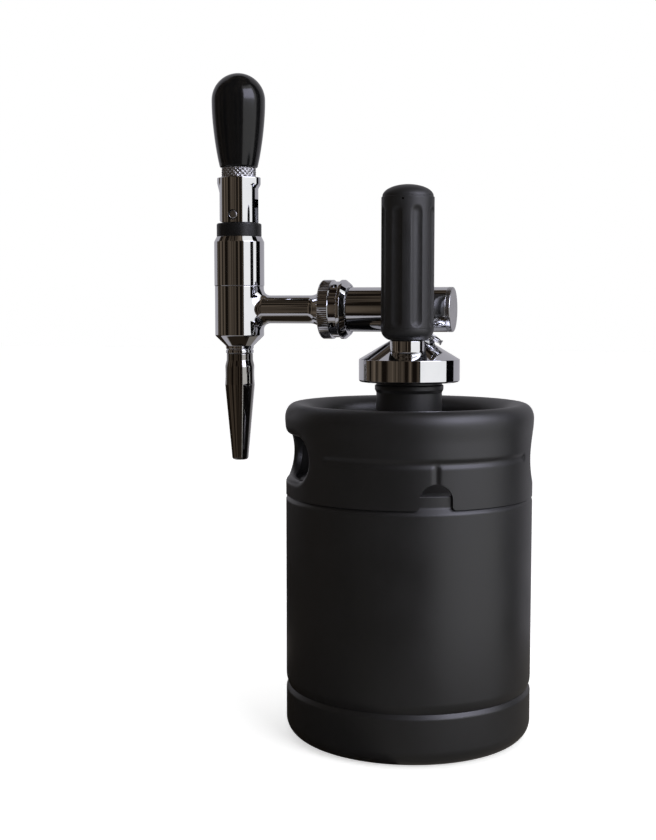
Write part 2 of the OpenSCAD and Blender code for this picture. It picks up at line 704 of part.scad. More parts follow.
// Split ring: a wire wound twice, threaded through the eye half way round
ring_path = [for (i = [0 : ring_steps])
    let (t = i / ring_steps, a = 720 * t)
    [ring_r * cos(a), ring_r * sin(a), ring_pitch * (2 * t - 1)]];
module pull_ring() color("#c9c9cc") at_relief() translate([0, 0, eye_z]) rotate([0, 0, ring_a])
    rotate([0, ring_dip, 0]) translate([ring_r, 0, 0])
    tube(ring_path, [for (p = ring_path) [0, 0, 1]], ring_wire / 2, 8);
echo(spring_self_gap = self_gap(spring_path, 4, spring_wire / 2));
echo(ring_self_gap = self_gap(ring_path, 12, ring_wire / 2));

// Coupling between the pipe and the tap
module coupling_nut() color("#c4c4c7") difference() {
    along_pipe() turned([[tail_neck_r + 0.2, nut_x], [nut_r - 1.5, nut_x], [nut_r - 0.5, nut_x + 0.5],
        [nut_r, nut_x + 1.5], [nut_r, nut_x + 5.6], [nut_r - 0.9, nut_x + 6.1], [nut_r - 0.9, nut_x + 10.3],
        [nut_r, nut_x + 10.8], [nut_r, nut_x + 12.4], [shank_r + 0.6, nut_x + nut_l],
        [shank_r + run_gap, nut_x + nut_l], [shank_r + run_gap, nut_x + nut_lip],
        [tail_neck_r + 0.2, nut_x + nut_lip]]);
    for (a = [57, 147, 237, 327]) translate([nut_x + 8.2, pipe_y, pipe_z]) rotate([-a, 0, 0])
        translate([0, -shank_r + 2, 0]) rotate([90, 0, 0]) cylinder(r = 1.6, h = 10);
}
module coupling_gasket() color("#2b2b2b") along_pipe()
    ring(tail_in + 0.3, tail_lip_r - 0.3, tail_end + face_gap, joint_x - tail_end - 2 * face_gap);
module tap_body() color("#c9c9cc") difference() {
    union() {
        at_tap() turned([[0, tap_spigot], [spigot_out, tap_spigot], [spigot_out, collar_low],
            [collar_r, collar_low], [collar_r, collar_low + 1.7], [collar_r - 0.45, collar_low + 1.9],
            [collar_r - 0.45, collar_low + 2.3], [collar_r, collar_low + 2.5], [collar_r + 0.1, cone_low],
            [tap_r, body_low], [tap_r, body_top], [tap_neck_r, body_top],
            [tap_neck_r, tap_neck_top], [0, tap_neck_top]]);
        along_pipe() turned([[0, tap_x], [tail_r + 2, tap_x], [tail_r + 2, tap_x + tap_r - 1],
            [tail_r + 0.5, tap_x + tap_r + 1], [tail_r, tap_x + tap_r + 3],
            [tail_r, nut_x - 9.5], [tail_r + 0.7, nut_x - 5], [tail_neck_r, nut_x - 0.6],
            [tail_neck_r, tail_x], [tail_lip_r, tail_x], [tail_lip_r, tail_end], [0, tail_end]]);
    }
    at_tap() {
        translate([0, 0, seat_z]) cylinder(r = chamber_r, h = 80);
        translate([0, 0, tap_spigot - 1]) cylinder(r = outlet_r, h = 40);
    }
    along_pipe() translate([0, 0, tap_x]) cylinder(r = tail_in, h = -tap_x);
}
module tap_bonnet() color("#c9c9cc") at_tap() turned([[tap_neck_r + seat_gap, body_top + seat_gap],
    [bonnet_r, body_top + seat_gap], [bonnet_r, bonnet_top - 2.9], [washer_r, bonnet_top],
    [shaft_r + run_gap, bonnet_top], [shaft_r + run_gap, bonnet_plate],
    [tap_neck_r + seat_gap, bonnet_plate]]);
module bonnet_gasket() color("#141414") at_tap()
    ring(chamber_r + 0.2, tap_neck_r - 0.1, bonnet_gasket_z, bonnet_plate - bonnet_gasket_z - face_gap);
module cam_washer() color("#151515") at_tap() turned([[shaft_r + run_gap, washer_z],
    [washer_r - 0.3, washer_z], [washer_r, washer_z + 0.3], [washer_r, washer_top - 0.8],
    [washer_r - 0.8, washer_top], [shaft_r + run_gap, washer_top]]);

// Plunger: valve head, sealed piston, shaft and flat tang for the cross pin
module tap_plunger() color("#c0c0c3") at_tap() difference() {
    union() {
        turned(concat([[0, seat_z + 0.6], [1.9, seat_z + 0.6], [1.9, seat_z + 2.1], [6.2, seat_z + 2.1],
            [6.2, seat_z + 4.4], [4, seat_z + 5.6], [4, piston_z], [piston_r, piston_z]],
            [for (z = seal_zs) each [[piston_r, z - 1], [groove_r, z - 1], [groove_r, z + 1],
                [piston_r, z + 1]]],
            [[piston_r, piston_z + piston_h], [shaft_r, piston_z + piston_h], [shaft_r, tang_low],
             [0, tang_low]]));
        intersection() {
            translate([-shaft_r, -tang_t / 2, tang_low - 1])
                cube([2 * shaft_r, tang_t, pin_z + tang_up - tang_low + 1]);
            cylinder(r = shaft_r, h = pin_z + 20);
        }
    }
    translate([0, 0, pin_z]) rotate([90, 0, 0]) cylinder(r = pin_r + seat_gap, h = 40, center = true);
}
module seat_washer() color("#141414") at_tap()
    ring(1.9 + seat_gap, 6, seat_z + face_gap, 2.1 - 2 * face_gap);
module piston_seal(z) color("#141414") at_tap()
    o_ring((groove_r + chamber_r) / 2, (chamber_r - groove_r) / 2 - seat_gap, z);
module lower_piston_seal() piston_seal(seal_zs[0]);
module upper_piston_seal() piston_seal(seal_zs[1]);
module lever_pin() color("#d0d0d0") at_tap() translate([0, 0, pin_z]) rotate([90, 0, 0])
    cylinder(r = pin_r, h = 2 * yoke_r - 0.8, center = true);

// Nozzle with its restrictor and straightener
module nozzle() color("#9a9a9e") at_tap() difference() {
    turned([[2.4, nozzle_low], [nozzle_tip_r - 1.1, nozzle_low], [nozzle_tip_r - 0.3, nozzle_low + 0.7],
        [nozzle_tip_r, nozzle_low + 2.3], [nozzle_max_d / 2, nozzle_wide],
        [nozzle_top_d / 2, nozzle_top - 0.6], [nozzle_top_d / 2 - 0.4, nozzle_top],
        [spigot_out + seat_gap, nozzle_top], [spigot_out + seat_gap, disc_z - face_gap],
        [nozzle_bore_r, disc_z - face_gap], [nozzle_bore_r, nozzle_wide], [3.2, nozzle_low + 8]]);
    for (s = [-1, 1]) rotate([0, 0, 12]) translate([s * 12.1, 0, nozzle_wide + 7])
        cube([10, 20, 12], center = true);
}
module restrictor_disc() color("#c0c0c3") at_tap() difference() {
    translate([0, 0, disc_z]) cylinder(r = spigot_out - seat_gap, h = disc_t);
    for (i = [0 : 4]) rotate([0, 0, 72 * i]) translate([2.2, 0, disc_z - 1]) cylinder(r = 0.5, h = 5);
}
module nozzle_gasket() color("#141414") at_tap()
    ring(3.4, spigot_out - 0.1, disc_z + disc_t + face_gap, tap_spigot - disc_z - disc_t - 2 * face_gap);
module flow_straightener() color("#d9d7cf") at_tap() {
    for (a = [0, 90]) rotate([0, 0, a]) {
        translate([-vane_w / 2, -vane_t / 2, vane_low]) cube([vane_w, vane_t, hub_z + 1 - vane_low]);
        translate([-hub_r + 0.5, -vane_t / 2, hub_z]) cube([2 * hub_r - 1, vane_t, hub_h]);
    }
    ring(hub_r - 1, hub_r, hub_z, hub_h);
}

// Lever: yoke with a cam corner, stud, knurled ring and handle
function cam_point(t) = let (h = cam_h + cam_k * t * PI / 180)
    [-h * sin(t) - cam_k * cos(t), -h * cos(t) + cam_k * sin(t)];
module lever_yoke() color("#c9c9cc") at_tap() difference() {
    rotate_extrude() difference() {
        union() {
            translate([0, yoke_z]) square([yoke_r, yoke_h]);
            translate([0, yoke_top - 6.4]) square([flange_r, 6.4]);
        }
        translate([flange_r + 0.6, yoke_top - 6.9]) circle(2.1 + flange_r - yoke_r - 1.5);
        translate([flange_r - 0.3, yoke_top - 0.3]) polygon([[0, 0.4], [0.4, 0.4], [0.4, 0]]);
    }
    translate([-30, -tang_t / 2 - 0.2, yoke_z - 1]) cube([60, tang_t + 0.4, pin_z - yoke_z + slot_up + 1]);
    translate([0, 0, pin_z]) rotate([90, 0, 0]) cylinder(r = pin_r + run_gap, h = 60, center = true);
    translate([0, 40, pin_z]) rotate([90, 0, 0]) linear_extrude(80) polygon(concat([[-cam_k, -cam_h - 2]],
        [for (i = [0 : 12]) cam_point(tilt_max * i / 12)],
        [[-30, cam_point(tilt_max)[1]], [-30, -cam_h - 2]]));
    translate([0, 0, pin_z + slot_up + 1.6]) cylinder(r = stud_r + seat_gap, h = 40);
}
module lever_stud() color("#b4b4b8") at_tap() translate([0, 0, pin_z + slot_up + 1.8])
    cylinder(r = stud_r, h = handle_z + insert_l - 3 - pin_z - slot_up - 1.8);
module lock_ring() color("#c4c4c7") at_tap() turned([[stud_r + seat_gap, lock_z],
    [lock_d / 2 - 0.5, lock_z], [lock_d / 2, lock_z + 0.5], [lock_d / 2, lock_z + lock_h - 0.5],
    [lock_d / 2 - 0.5, lock_z + lock_h], [stud_r + seat_gap, lock_z + lock_h]]);
module handle_insert() color("#c8a24a") at_tap()
    ring(stud_r + seat_gap, insert_r, handle_z + 0.2, insert_l);
module tap_handle() color("#0c0c0d") at_tap() rotate_extrude() difference() {
    union() {
        intersection() {
            translate([handle_r - handle_side, dome_top_z]) circle(handle_side);
            translate([0, handle_z + 1]) square([handle_r, dome_top_z - handle_z - 1]);
        }
        intersection() {
            translate([0, dome_top_z]) circle(handle_r);
            translate([0, dome_top_z - 0.1]) square([handle_r, 2 * handle_r]);
        }
        translate([0, handle_z]) square([handle_low_r - 0.8, 2]);
        translate([handle_low_r - 0.85, handle_z + 1]) circle(1);
    }
    translate([-50, 0]) square([50 + insert_r + seat_gap, handle_z + insert_l + 0.4]);
    translate([-50, 0]) square([50, 600]);
}

keg_vessel();
top_chime();
base_chime();
keg_neck();
lid_gasket();
lid_cap();
manifold_pipe();
pipe_plug();
plug_seal();
stem_nut();
stem_gasket();
dip_tube();
shank();
charger_boss();
piercing_pin();
charger_seal();
charger_base();
gas_cartridge();
charger_sleeve();
relief_body();
relief_seat_ring();
relief_pin();
relief_seal();
relief_spring();
pull_ring();
coupling_nut();
coupling_gasket();
tap_body();
tap_bonnet();
bonnet_gasket();
cam_washer();
tap_plunger();
seat_washer();
lower_piston_seal();
upper_piston_seal();
nozzle();
restrictor_disc();
nozzle_gasket();
flow_straightener();
lever_pin();
lever_yoke();
lever_stud();
lock_ring();
handle_insert();
tap_handle();
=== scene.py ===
import json
import math

import bmesh
import bpy
from mathutils import Matrix, Vector


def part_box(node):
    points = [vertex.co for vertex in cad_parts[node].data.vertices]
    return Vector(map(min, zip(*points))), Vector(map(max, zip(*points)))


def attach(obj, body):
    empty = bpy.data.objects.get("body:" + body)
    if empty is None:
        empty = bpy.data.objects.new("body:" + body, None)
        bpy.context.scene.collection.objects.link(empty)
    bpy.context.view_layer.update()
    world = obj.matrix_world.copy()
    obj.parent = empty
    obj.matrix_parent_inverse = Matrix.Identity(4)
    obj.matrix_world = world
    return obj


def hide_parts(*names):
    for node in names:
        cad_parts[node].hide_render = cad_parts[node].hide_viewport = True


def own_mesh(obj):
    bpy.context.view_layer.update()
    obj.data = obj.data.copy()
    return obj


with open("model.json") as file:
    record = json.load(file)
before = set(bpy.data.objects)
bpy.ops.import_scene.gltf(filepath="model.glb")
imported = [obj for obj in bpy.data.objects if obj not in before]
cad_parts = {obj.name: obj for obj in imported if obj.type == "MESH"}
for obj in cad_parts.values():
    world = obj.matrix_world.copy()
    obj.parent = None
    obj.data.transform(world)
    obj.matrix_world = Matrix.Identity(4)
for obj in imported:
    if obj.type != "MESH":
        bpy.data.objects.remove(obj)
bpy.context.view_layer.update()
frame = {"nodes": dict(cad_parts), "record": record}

MM = 0.001
X, Y, Z = range(3)
record = frame["record"]
body_of = {node: body for body, nodes in record["behaviour"]["bodies"].items() for node in nodes}
slot_of = {part["node"]: part["material_slot"] for part in record["subparts"]}


def room(node):
    """Lowest and highest corners of a CAD node."""
    low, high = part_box(node)
    return low / MM, high / MM


def middle(node):
    low, high = room(node)
    return (low + high) / 2


def ends(node, axis):
    """Where a CAD node starts and stops along an axis."""
    low, high = room(node)
    return low[axis], high[axis]


def half_width(node, axis):
    low, high = ends(node, axis)
    return (high - low) / 2


# Axes and heights that the pieces share, read from the frame
TAP = middle("tap_bonnet")
PIPE = middle("pipe_plug")
CHARGER = middle("charger_boss")
RELIEF = middle("relief_body")
KEG_R = ends("keg_vessel", X)[1]
SEAM_Z, RIM_Z = ends("top_chime", Z)
GROOVE_Z = ends("base_chime", Z)[1]
NECK_R = 17.3

# Clearance between faces that meet, and between pieces that slide or screw
GAP, SLIP = 0.02, 0.06
# How far a drill runs past what it cuts, and how far one shape runs into another
PAST, OVERLAP = 2.0, 0.1
# Corners this close are one corner, as drawn and after a cut
SAME, CUT_SAME = 1e-4, 1e-3
# A corner this true to a radius lies on that side of a spun shape
ON_SIDE = 0.01


# Finishes

# Most of a noise lies between these two
NOISE_LOW, NOISE_HIGH = 0.3, 0.7


def linear(colour):
    """An sRGB hex colour as linear RGBA."""
    shares = [int(colour[i : i + 2], 16) / 255 for i in (1, 3, 5)]
    return [c / 12.92 if c <= 0.04045 else ((c + 0.055) / 1.055) ** 2.4 for c in shares] + [1.0]


def per_mm(size):
    """Texture scale at which one feature is about this many millimetres, on Object coordinates in metres."""
    return 1 / (size * MM)


def add(nodes, kind, settings=(), inputs=()):
    """Adds a shader node. Each input gets a value, or a link from another node's output."""
    node = nodes.new("ShaderNode" + kind)
    for name, value in dict(settings).items():
        setattr(node, name, value)
    for name, value in dict(inputs).items():
        if isinstance(value, bpy.types.NodeSocket):
            nodes.id_data.links.new(value, node.inputs[name])
        else:
            node.inputs[name].default_value = value
    return node


def finish(name, dark, light, roughness, marks, grain, depth, metallic=0.0, stretch=(1, 1, 1), **sockets):
    """A surface whose colour and roughness drift over marks, and whose grain has a depth, all in mm."""
    made = bpy.data.materials.new(name)
    made.use_nodes = True
    nodes = made.node_tree.nodes
    surface = nodes["Principled BSDF"]
    place = add(nodes, "TexCoord").outputs["Object"]
    drift = add(nodes, "TexNoise", inputs={"Vector": place, "Scale": per_mm(marks), "Detail": 4.0})
    along = add(nodes, "Mapping", inputs={"Vector": place, "Scale": stretch})
    fine = add(nodes, "TexNoise", inputs={"Vector": along.outputs[0], "Scale": per_mm(grain), "Detail": 3.0})
    tone = add(nodes, "Mix", {"data_type": "RGBA"},
               {0: drift.outputs["Fac"], 6: linear(dark), 7: linear(light)})
    gloss = add(nodes, "MapRange", inputs={"Value": drift.outputs["Fac"],
                                           "From Min": NOISE_LOW, "From Max": NOISE_HIGH,
                                           "To Min": roughness[0], "To Max": roughness[1]})
    relief = add(nodes, "Bump", inputs={"Height": fine.outputs["Fac"], "Distance": depth * MM,
                                        "Strength": 1.0})
    links = made.node_tree.links
    links.new(tone.outputs[2], surface.inputs["Base Color"])
    links.new(gloss.outputs[0], surface.inputs["Roughness"])
    links.new(relief.outputs[0], surface.inputs["Normal"])
    surface.inputs["Metallic"].default_value = metallic
    for socket, value in sockets.items():
        surface.inputs[socket.replace("_", " ")].default_value = value
    return made


FINISHES = {
    # Polyester powder coat on steel, baked matt: wide soft highlights over a fine orange peel. The grain is
    # drawn coarser than the real one so that it shows.
    "keg_paint": finish("matt_black_powder_coat", "#111112", "#171718", (0.38, 0.46), 28, 0.8, 0.012),
    # Chrome plate buffed on a wheel: mirror sharp, with a faint haze where hands have been
    "chrome": finish("polished_chrome_plate", "#d6d7d9", "#c9cacd", (0.03, 0.07), 14, 3.0, 0.0006, 1.0),
    # Polished stainless steel: a mirror too, but darker and warmer than the plate
    "dark_chrome": finish("polished_stainless_steel", "#9c9a97", "#8b8986", (0.05, 0.10), 10, 2.0, 0.0008,
                          1.0),
    # Stainless steel left as turned: grey, with fine even tool marks that blur what it mirrors
    "satin_steel": finish("satin_turned_steel", "#b3b3b4", "#a2a2a3", (0.22, 0.30), 8, 0.7, 0.004, 1.0,
                          stretch=(1, 4, 4)),
    # Bare drawn steel: dull, with streaks along the draw
    "cartridge_steel": finish("drawn_steel", "#a9abad", "#9a9c9e", (0.26, 0.36), 9, 0.8, 0.003, 1.0,
                              stretch=(4, 4, 0.4)),
    # Hard anodised aluminium: flat black with a soft bloom along its edges
    "sleeve_black": finish("black_anodised_aluminium", "#121213", "#171718", (0.44, 0.54), 11, 0.6, 0.006),
    # Phenolic moulding with a buffed skin: deep black under a sharp gloss
    "handle_black": finish("glossy_black_phenolic", "#0b0b0c", "#101011", (0.11, 0.17), 16, 6.0, 0.004,
                           Specular_IOR_Level=0.32),
    # Acetal turned from bar: black with a low sheen and faint tool marks
    "black_plastic": finish("black_acetal", "#0c0c0d", "#111112", (0.34, 0.42), 6, 0.6, 0.003,
                            stretch=(1, 1, 6), Specular_IOR_Level=0.3),
    # Natural polypropylene: milky, with a moulded skin
    "pale_plastic": finish("natural_polypropylene", "#d8d4c8", "#cdc8ba", (0.40, 0.50), 5, 0.7, 0.004),
    # Nitrile rubber: dull black with a fine moulded grain
    "black_rubber": finish("nitrile_rubber", "#141414", "#1b1b1b", (0.62, 0.74), 4, 0.5, 0.008),
    # Silicone rubber: pale, waxy and a little cloudy
    "silicone": finish("pale_silicone", "#dcd7ca", "#d0cabb", (0.45, 0.55), 5, 0.6, 0.004),
    # Turned brass: warm, with fine tool marks
    "brass": finish("turned_brass", "#c49a4a", "#b38a3d", (0.22, 0.32), 6, 0.6, 0.003, 1.0,
                    stretch=(1, 1, 5)),
}
for node, shape in frame["nodes"].items():
    shape.data.materials.clear()
    shape.data.materials.append(FINISHES[slot_of[node]])


# Ways of shaping a piece

# How far the steps of a rounded corner may stray from its arc
ARC_ERROR = 0.008


def outline(bm, corners, closed=False):
    """A wire of corners in the XZ plane."""
    verts = [bm.verts.new((corner[0], 0, corner[1])) for corner in corners]
    for pair in zip(verts, verts[1:] + verts[:1] if closed else verts[1:]):
        bm.edges.new(pair)
    for corner, vert in zip(corners, verts):
        if len(corner) == 3:
            sides = [(edge.other_vert(vert).co - vert.co).normalized() for edge in vert.link_edges]
            half = sides[0].angle(sides[1]) / 2
            chord = 2 * math.acos(max(0.0, 1 - ARC_ERROR / corner[2]))
            bmesh.ops.bevel(bm, geom=[vert], offset=corner[2] / math.tan(half), offset_type="OFFSET",
                            affect="VERTICES", segments=max(2, math.ceil((math.pi - 2 * half) / chord)),
                            profile=0.5, material=-1, clamp_overlap=False)


def closed_up(bm):
    """Joins the corners that meet, and turns the faces outwards."""
    bmesh.ops.remove_doubles(bm, verts=bm.verts, dist=SAME)
    bmesh.ops.recalc_face_normals(bm, faces=bm.faces)
    return bm


def spun(bm, steps):
    """Turns what is drawn the whole way round Z."""
    bmesh.ops.spin(bm, geom=bm.verts[:] + bm.edges[:], axis=(0, 0, 1), cent=(0, 0, 0), angle=math.tau,
                   steps=steps, use_merge=True)
    return closed_up(bm)


def turned(corners, steps=160, closed=False):
    """A piece from the lathe: its half outline spun round Z."""
    bm = bmesh.new()
    outline(bm, corners, closed)
    return spun(bm, steps)


def rod(radius, low, high, steps=48):
    return turned([(0, low), (radius, low), (radius, high), (0, high)], steps)


def wound(bm, turns, lead, steps):
    """Winds a cross-section round Z, climbing by its lead each turn."""
    bmesh.ops.spin(bm, geom=bm.faces[:] + bm.edges[:] + bm.verts[:], axis=(0, 0, 1), cent=(0, 0, 0),
                   dvec=(0, 0, turns * lead / steps), angle=turns * math.tau, steps=steps)
    return closed_up(bm)


def moved(bm, x=0.0, y=0.0, z=0.0):
    bmesh.ops.translate(bm, vec=(x, y, z), verts=bm.verts)
    return bm


def rotated(bm, angle, axis):
    bmesh.ops.rotate(bm, verts=bm.verts, cent=(0, 0, 0), matrix=Matrix.Rotation(math.radians(angle), 3, axis))
    return bm


def trimmed(bm, place, normal):
    """Takes away what lies behind a plane."""
    bmesh.ops.bisect_plane(bm, geom=bm.verts[:] + bm.edges[:] + bm.faces[:], plane_co=place, plane_no=normal,
                           clear_inner=True)
    return bm


def on_pipe(bm):
    """Lays a turned piece on the pipe's axis: its heights become X."""
    return moved(rotated(bm, 90, "Y"), 0, PIPE.y, PIPE.z)


def over(spot, bm):
    """Moves an upright piece from the keg's axis to another."""
    return moved(bm, spot.x, spot.y)


def meshed(name, bm):
    """What was drawn, as a mesh."""
    mesh = bpy.data.meshes.new(name)
    bm.to_mesh(mesh)
    bm.free()
    return mesh


def placed(name, data):
    """A new object in the scene."""
    made = bpy.data.objects.new(name, data)
    bpy.context.scene.collection.objects.link(made)
    return made


def together(*shapes):
    """Several closed shapes as one mesh."""
    whole = bmesh.new()
    for shape in shapes:
        mesh = meshed("part", shape)
        whole.from_mesh(mesh)
        bpy.data.meshes.remove(mesh)
    return whole


def carved(blank, *tools):
    """A blank with each tool's shape cut out of it, and the cut's slivers cleared."""
    for tool in tools:
        work, cutter = (placed("blank", meshed("blank", shape)) for shape in (blank, tool))
        cut = work.modifiers.new("cut", "BOOLEAN")
        cut.object = cutter
        cut.solver = "EXACT"
        blank = bmesh.new()
        blank.from_object(work, bpy.context.evaluated_depsgraph_get())
        bmesh.ops.remove_doubles(blank, verts=blank.verts, dist=CUT_SAME)
        bmesh.ops.dissolve_degenerate(blank, edges=blank.edges, dist=CUT_SAME)
        for passing in (work, cutter):
            bpy.data.meshes.remove(passing.data)
    return blank


def piece(name, bm, *nodes, sharp=32, wall=0.0, edge=0.0):
    """Makes a piece of a shape. It stands in for some nodes, which it hides, and takes the body of the first
    and the finish of its slot.
    """
    bmesh.ops.scale(bm, vec=(MM, MM, MM), verts=bm.verts)
    mesh = meshed(name, bm)
    mesh.shade_smooth()
    mesh.set_sharp_from_angle(angle=math.radians(sharp))
    mesh.materials.append(FINISHES[slot_of[nodes[0]]])
    made = placed(name, mesh)
    if wall:
        sheet = made.modifiers.new("wall", "SOLIDIFY")
        sheet.thickness = wall * MM
        sheet.offset = -1
        sheet.use_even_offset = False
    if edge:
        soft = made.modifiers.new("soft_edges", "BEVEL")
        soft.width = edge * MM
        soft.segments = 2
        soft.limit_method = "ANGLE"
        soft.angle_limit = math.radians(50)
    made.modifiers.new("even_shading", "WEIGHTED_NORMAL").keep_sharp = True
    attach(made, body_of[nodes[0]])
    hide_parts(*nodes)
    return made


# Keg: vessel between two chimes

KEG_STEPS = 240
VESSEL_WALL, CHIME_WALL = 1.2, 1.8
SHOULDER_R = 14.0
DOME_RISE = 28.7
SEAM_DEPTH = 1.0
SIDE_STUB = 1.0
LIP_RISE, LIP_IN = 7.0, 2.0
# Heights from the seam of the slope under the lip, and its rounding
SLOPE_TOP, SLOPE_FOOT, SLOPE_R = 1.0, -2.2, 2.5
shoulder_in = KEG_R - SHOULDER_R
shoulder_drop = math.sqrt(SHOULDER_R**2 - (SHOULDER_R - SEAM_DEPTH) ** 2)
dome_lift = DOME_RISE - SHOULDER_R
dome_below = (shoulder_in**2 - dome_lift**2) / (2 * dome_lift)
dome_r = DOME_RISE + dome_below
lean = math.atan2(dome_below, shoulder_in)
dome_corner = dome_r * math.tan((math.pi / 2 - lean) / 2)
shoulder_corner = SHOULDER_R * math.tan(lean / 2)


def keg_vessel():
    """Drawn vessel: domed ends on round shoulders, open at the neck, with a lip inside the top chime."""
    top, low = SEAM_Z - shoulder_drop, GROOVE_Z + shoulder_drop
    lip_r, lip_top = KEG_R - LIP_IN, SEAM_Z + LIP_RISE
    bm = bmesh.new()
    outline(bm, [(0, top + DOME_RISE), (dome_corner, top + DOME_RISE, dome_r),
                 (KEG_R, top + shoulder_corner, SHOULDER_R), (KEG_R, top - SIDE_STUB)])
    trimmed(bm, (NECK_R, 0, 0), (1, 0, 0))
    trimmed(bm, (0, 0, lip_top), (0, 0, 1))
    fold = max(vert.co.x for vert in bm.verts)
    outline(bm, [(fold, lip_top), (lip_r, lip_top, 0.8), (lip_r, SEAM_Z + SLOPE_TOP, SLOPE_R),
                 (KEG_R, SEAM_Z + SLOPE_FOOT, SLOPE_R), (KEG_R, low - shoulder_corner, SHOULDER_R),
                 (dome_corner, low - DOME_RISE, dome_r), (0, low - DOME_RISE)])
    bmesh.ops.remove_doubles(bm, verts=bm.verts, dist=CUT_SAME)
    return spun(bm, KEG_STEPS)


piece("keg_shell", keg_vessel(), "keg_vessel", wall=VESSEL_WALL)

FOOT_R, FOOT_IN = 9.0, 47.0
EDGE_IN, EDGE_DROP = 1.25, 2.5
base_skirt = turned([(KEG_R - EDGE_IN, GROOVE_Z), (KEG_R, GROOVE_Z - EDGE_DROP, 2.0), (KEG_R, 0, FOOT_R),
                     (FOOT_IN, 0, 2.5), (FOOT_IN, 2 * CHIME_WALL)], KEG_STEPS)
piece("base_skirt", base_skirt, "base_chime", wall=CHIME_WALL, edge=0.35)

CHIME_STEPS, WALL_CUTS, LIP_CUTS, ROLL_STEPS = 480, 48, 3, 26
ROLL_R, ROLL_OUT, ROLL_PROUD = 7.5, 5.5, 0.47
LIP_DROP = 5.0
BLEND_Z = RIM_Z - 16
HAND_TURNS = (24.0, 204.0)
HAND_W, HAND_H = 56.0, 22.5
HAND_Z = RIM_Z - 27.2
HEM_R, HEM_DEPTH, HEM_STEPS = 3.2, 5.0, 8
BEAD_TURNS = (-66.0, 114.0)
BEAD_Z = HAND_Z + 1.7
BEAD_SPAN = 51.0
BEAD_HALF, BRANCH_HALF, BEAD_DEPTH = 2.5, 2.3, 0.9
# The beads are pressed into the plain wall alone, below this height
PRESS_TOP = BEAD_Z + 8
NOTCH_HALF, NOTCH_H = 8.35, 12.9
FLARE_R = 1.6
SNAP_REACH = 0.25


def chime_sheet():
    """Outer face of the top chime in an even grid: wall, rim rolled tighter outside than in, and lip."""
    bm = bmesh.new()
    roll_c, roll_z = KEG_R + ROLL_PROUD - ROLL_R, RIM_Z - ROLL_R
    start = math.asin(math.sqrt(ROLL_R**2 - (KEG_R - roll_c) ** 2) / ROLL_R)
    crease_z = roll_z - ROLL_R * math.sin(start)
    outline(bm, [(KEG_R, SEAM_Z), (KEG_R, crease_z)])
    outline(bm, [(roll_c - ROLL_R, roll_z), (roll_c - ROLL_R, roll_z - LIP_DROP)])
    bmesh.ops.subdivide_edges(bm, edges=[e for e in bm.edges if e.verts[0].co.x > roll_c], cuts=WALL_CUTS)
    bmesh.ops.subdivide_edges(bm, edges=[e for e in bm.edges if e.verts[0].co.x < roll_c], cuts=LIP_CUTS)
    bmesh.ops.spin(bm, geom=[bm.verts.new((KEG_R, 0, crease_z))], cent=(roll_c, 0, roll_z), axis=(0, -1, 0),
                   angle=math.pi + start, steps=ROLL_STEPS)
    bmesh.ops.remove_doubles(bm, verts=bm.verts, dist=SAME)
    for vert in bm.verts:
        if vert.co.x > roll_c and BLEND_Z < vert.co.z < roll_z:
            share = (vert.co.z - BLEND_Z) / (roll_z - BLEND_Z)
            vert.co.x = KEG_R + ROLL_PROUD * share**2 * (3 - 2 * share)
        elif vert.co.z >= roll_z:
            reach = (vert.co.x - roll_c) / ROLL_R
            half = ROLL_OUT if reach > 0 else 2 * ROLL_R - ROLL_OUT
            vert.co.x = KEG_R + ROLL_PROUD - ROLL_OUT + reach * half
    return spun(bm, CHIME_STEPS)


def facing(co, turn):
    """A point seen square on to the wall at a polar angle: across, up and out."""
    a = math.radians(turn)
    return co.y * math.cos(a) - co.x * math.sin(a), co.z, co.x * math.cos(a) + co.y * math.sin(a)


def on_wall(across, up, radius, turn):
    """The point of a cylinder round the keg's axis that shows at that place, seen square on."""
    a = math.radians(turn)
    out = math.sqrt(radius**2 - across**2)
    return Vector((out * math.cos(a) - across * math.sin(a), out * math.sin(a) + across * math.cos(a), up))


def hand_rim(across, up):
    """The nearest point on the middle line of a hand hole, and the direction away from it."""
    core = max(-(HAND_W - HAND_H) / 2, min((HAND_W - HAND_H) / 2, across))
    return Vector((core, HAND_Z)), Vector((across - core, up - HAND_Z))


def cut_opening(bm, gap, snap):
    """Opens the sheet where gap(place) is below zero, along its true line, and returns the new edge.

    Corners close to the line are drawn onto it, and the faces that it crosses are split.
    """
    side = {}
    for vert in bm.verts:
        side[vert] = gap(vert.co)
        if abs(side[vert]) < SNAP_REACH:
            vert.co, side[vert] = snap(vert.co), 0.0
    for edge in [e for e in bm.edges if side[e.verts[0]] * side[e.verts[1]] < 0]:
        start, end = (side[vert] for vert in edge.verts)
        _, vert = bmesh.utils.edge_split(edge, edge.verts[0], start / (start - end))
        vert.co, side[vert] = snap(vert.co), 0.0
    for face in bm.faces[:]:
        corners = face.verts[:]
        if min(side[v] for v in corners) < 0 < max(side[v] for v in corners):
            split = [v for i, v in enumerate(corners)
                     if side[v] == 0 and min(side[corners[i - 1]], side[corners[(i + 1) % len(corners)]]) < 0]
            bmesh.utils.face_split(face, *split)
    bmesh.ops.delete(bm, geom=[f for f in bm.faces if min(side[v] for v in f.verts) < 0], context="FACES")
    return [e for e in bm.edges if len(e.link_faces) == 1 and all(side[v] == 0 for v in e.verts)]


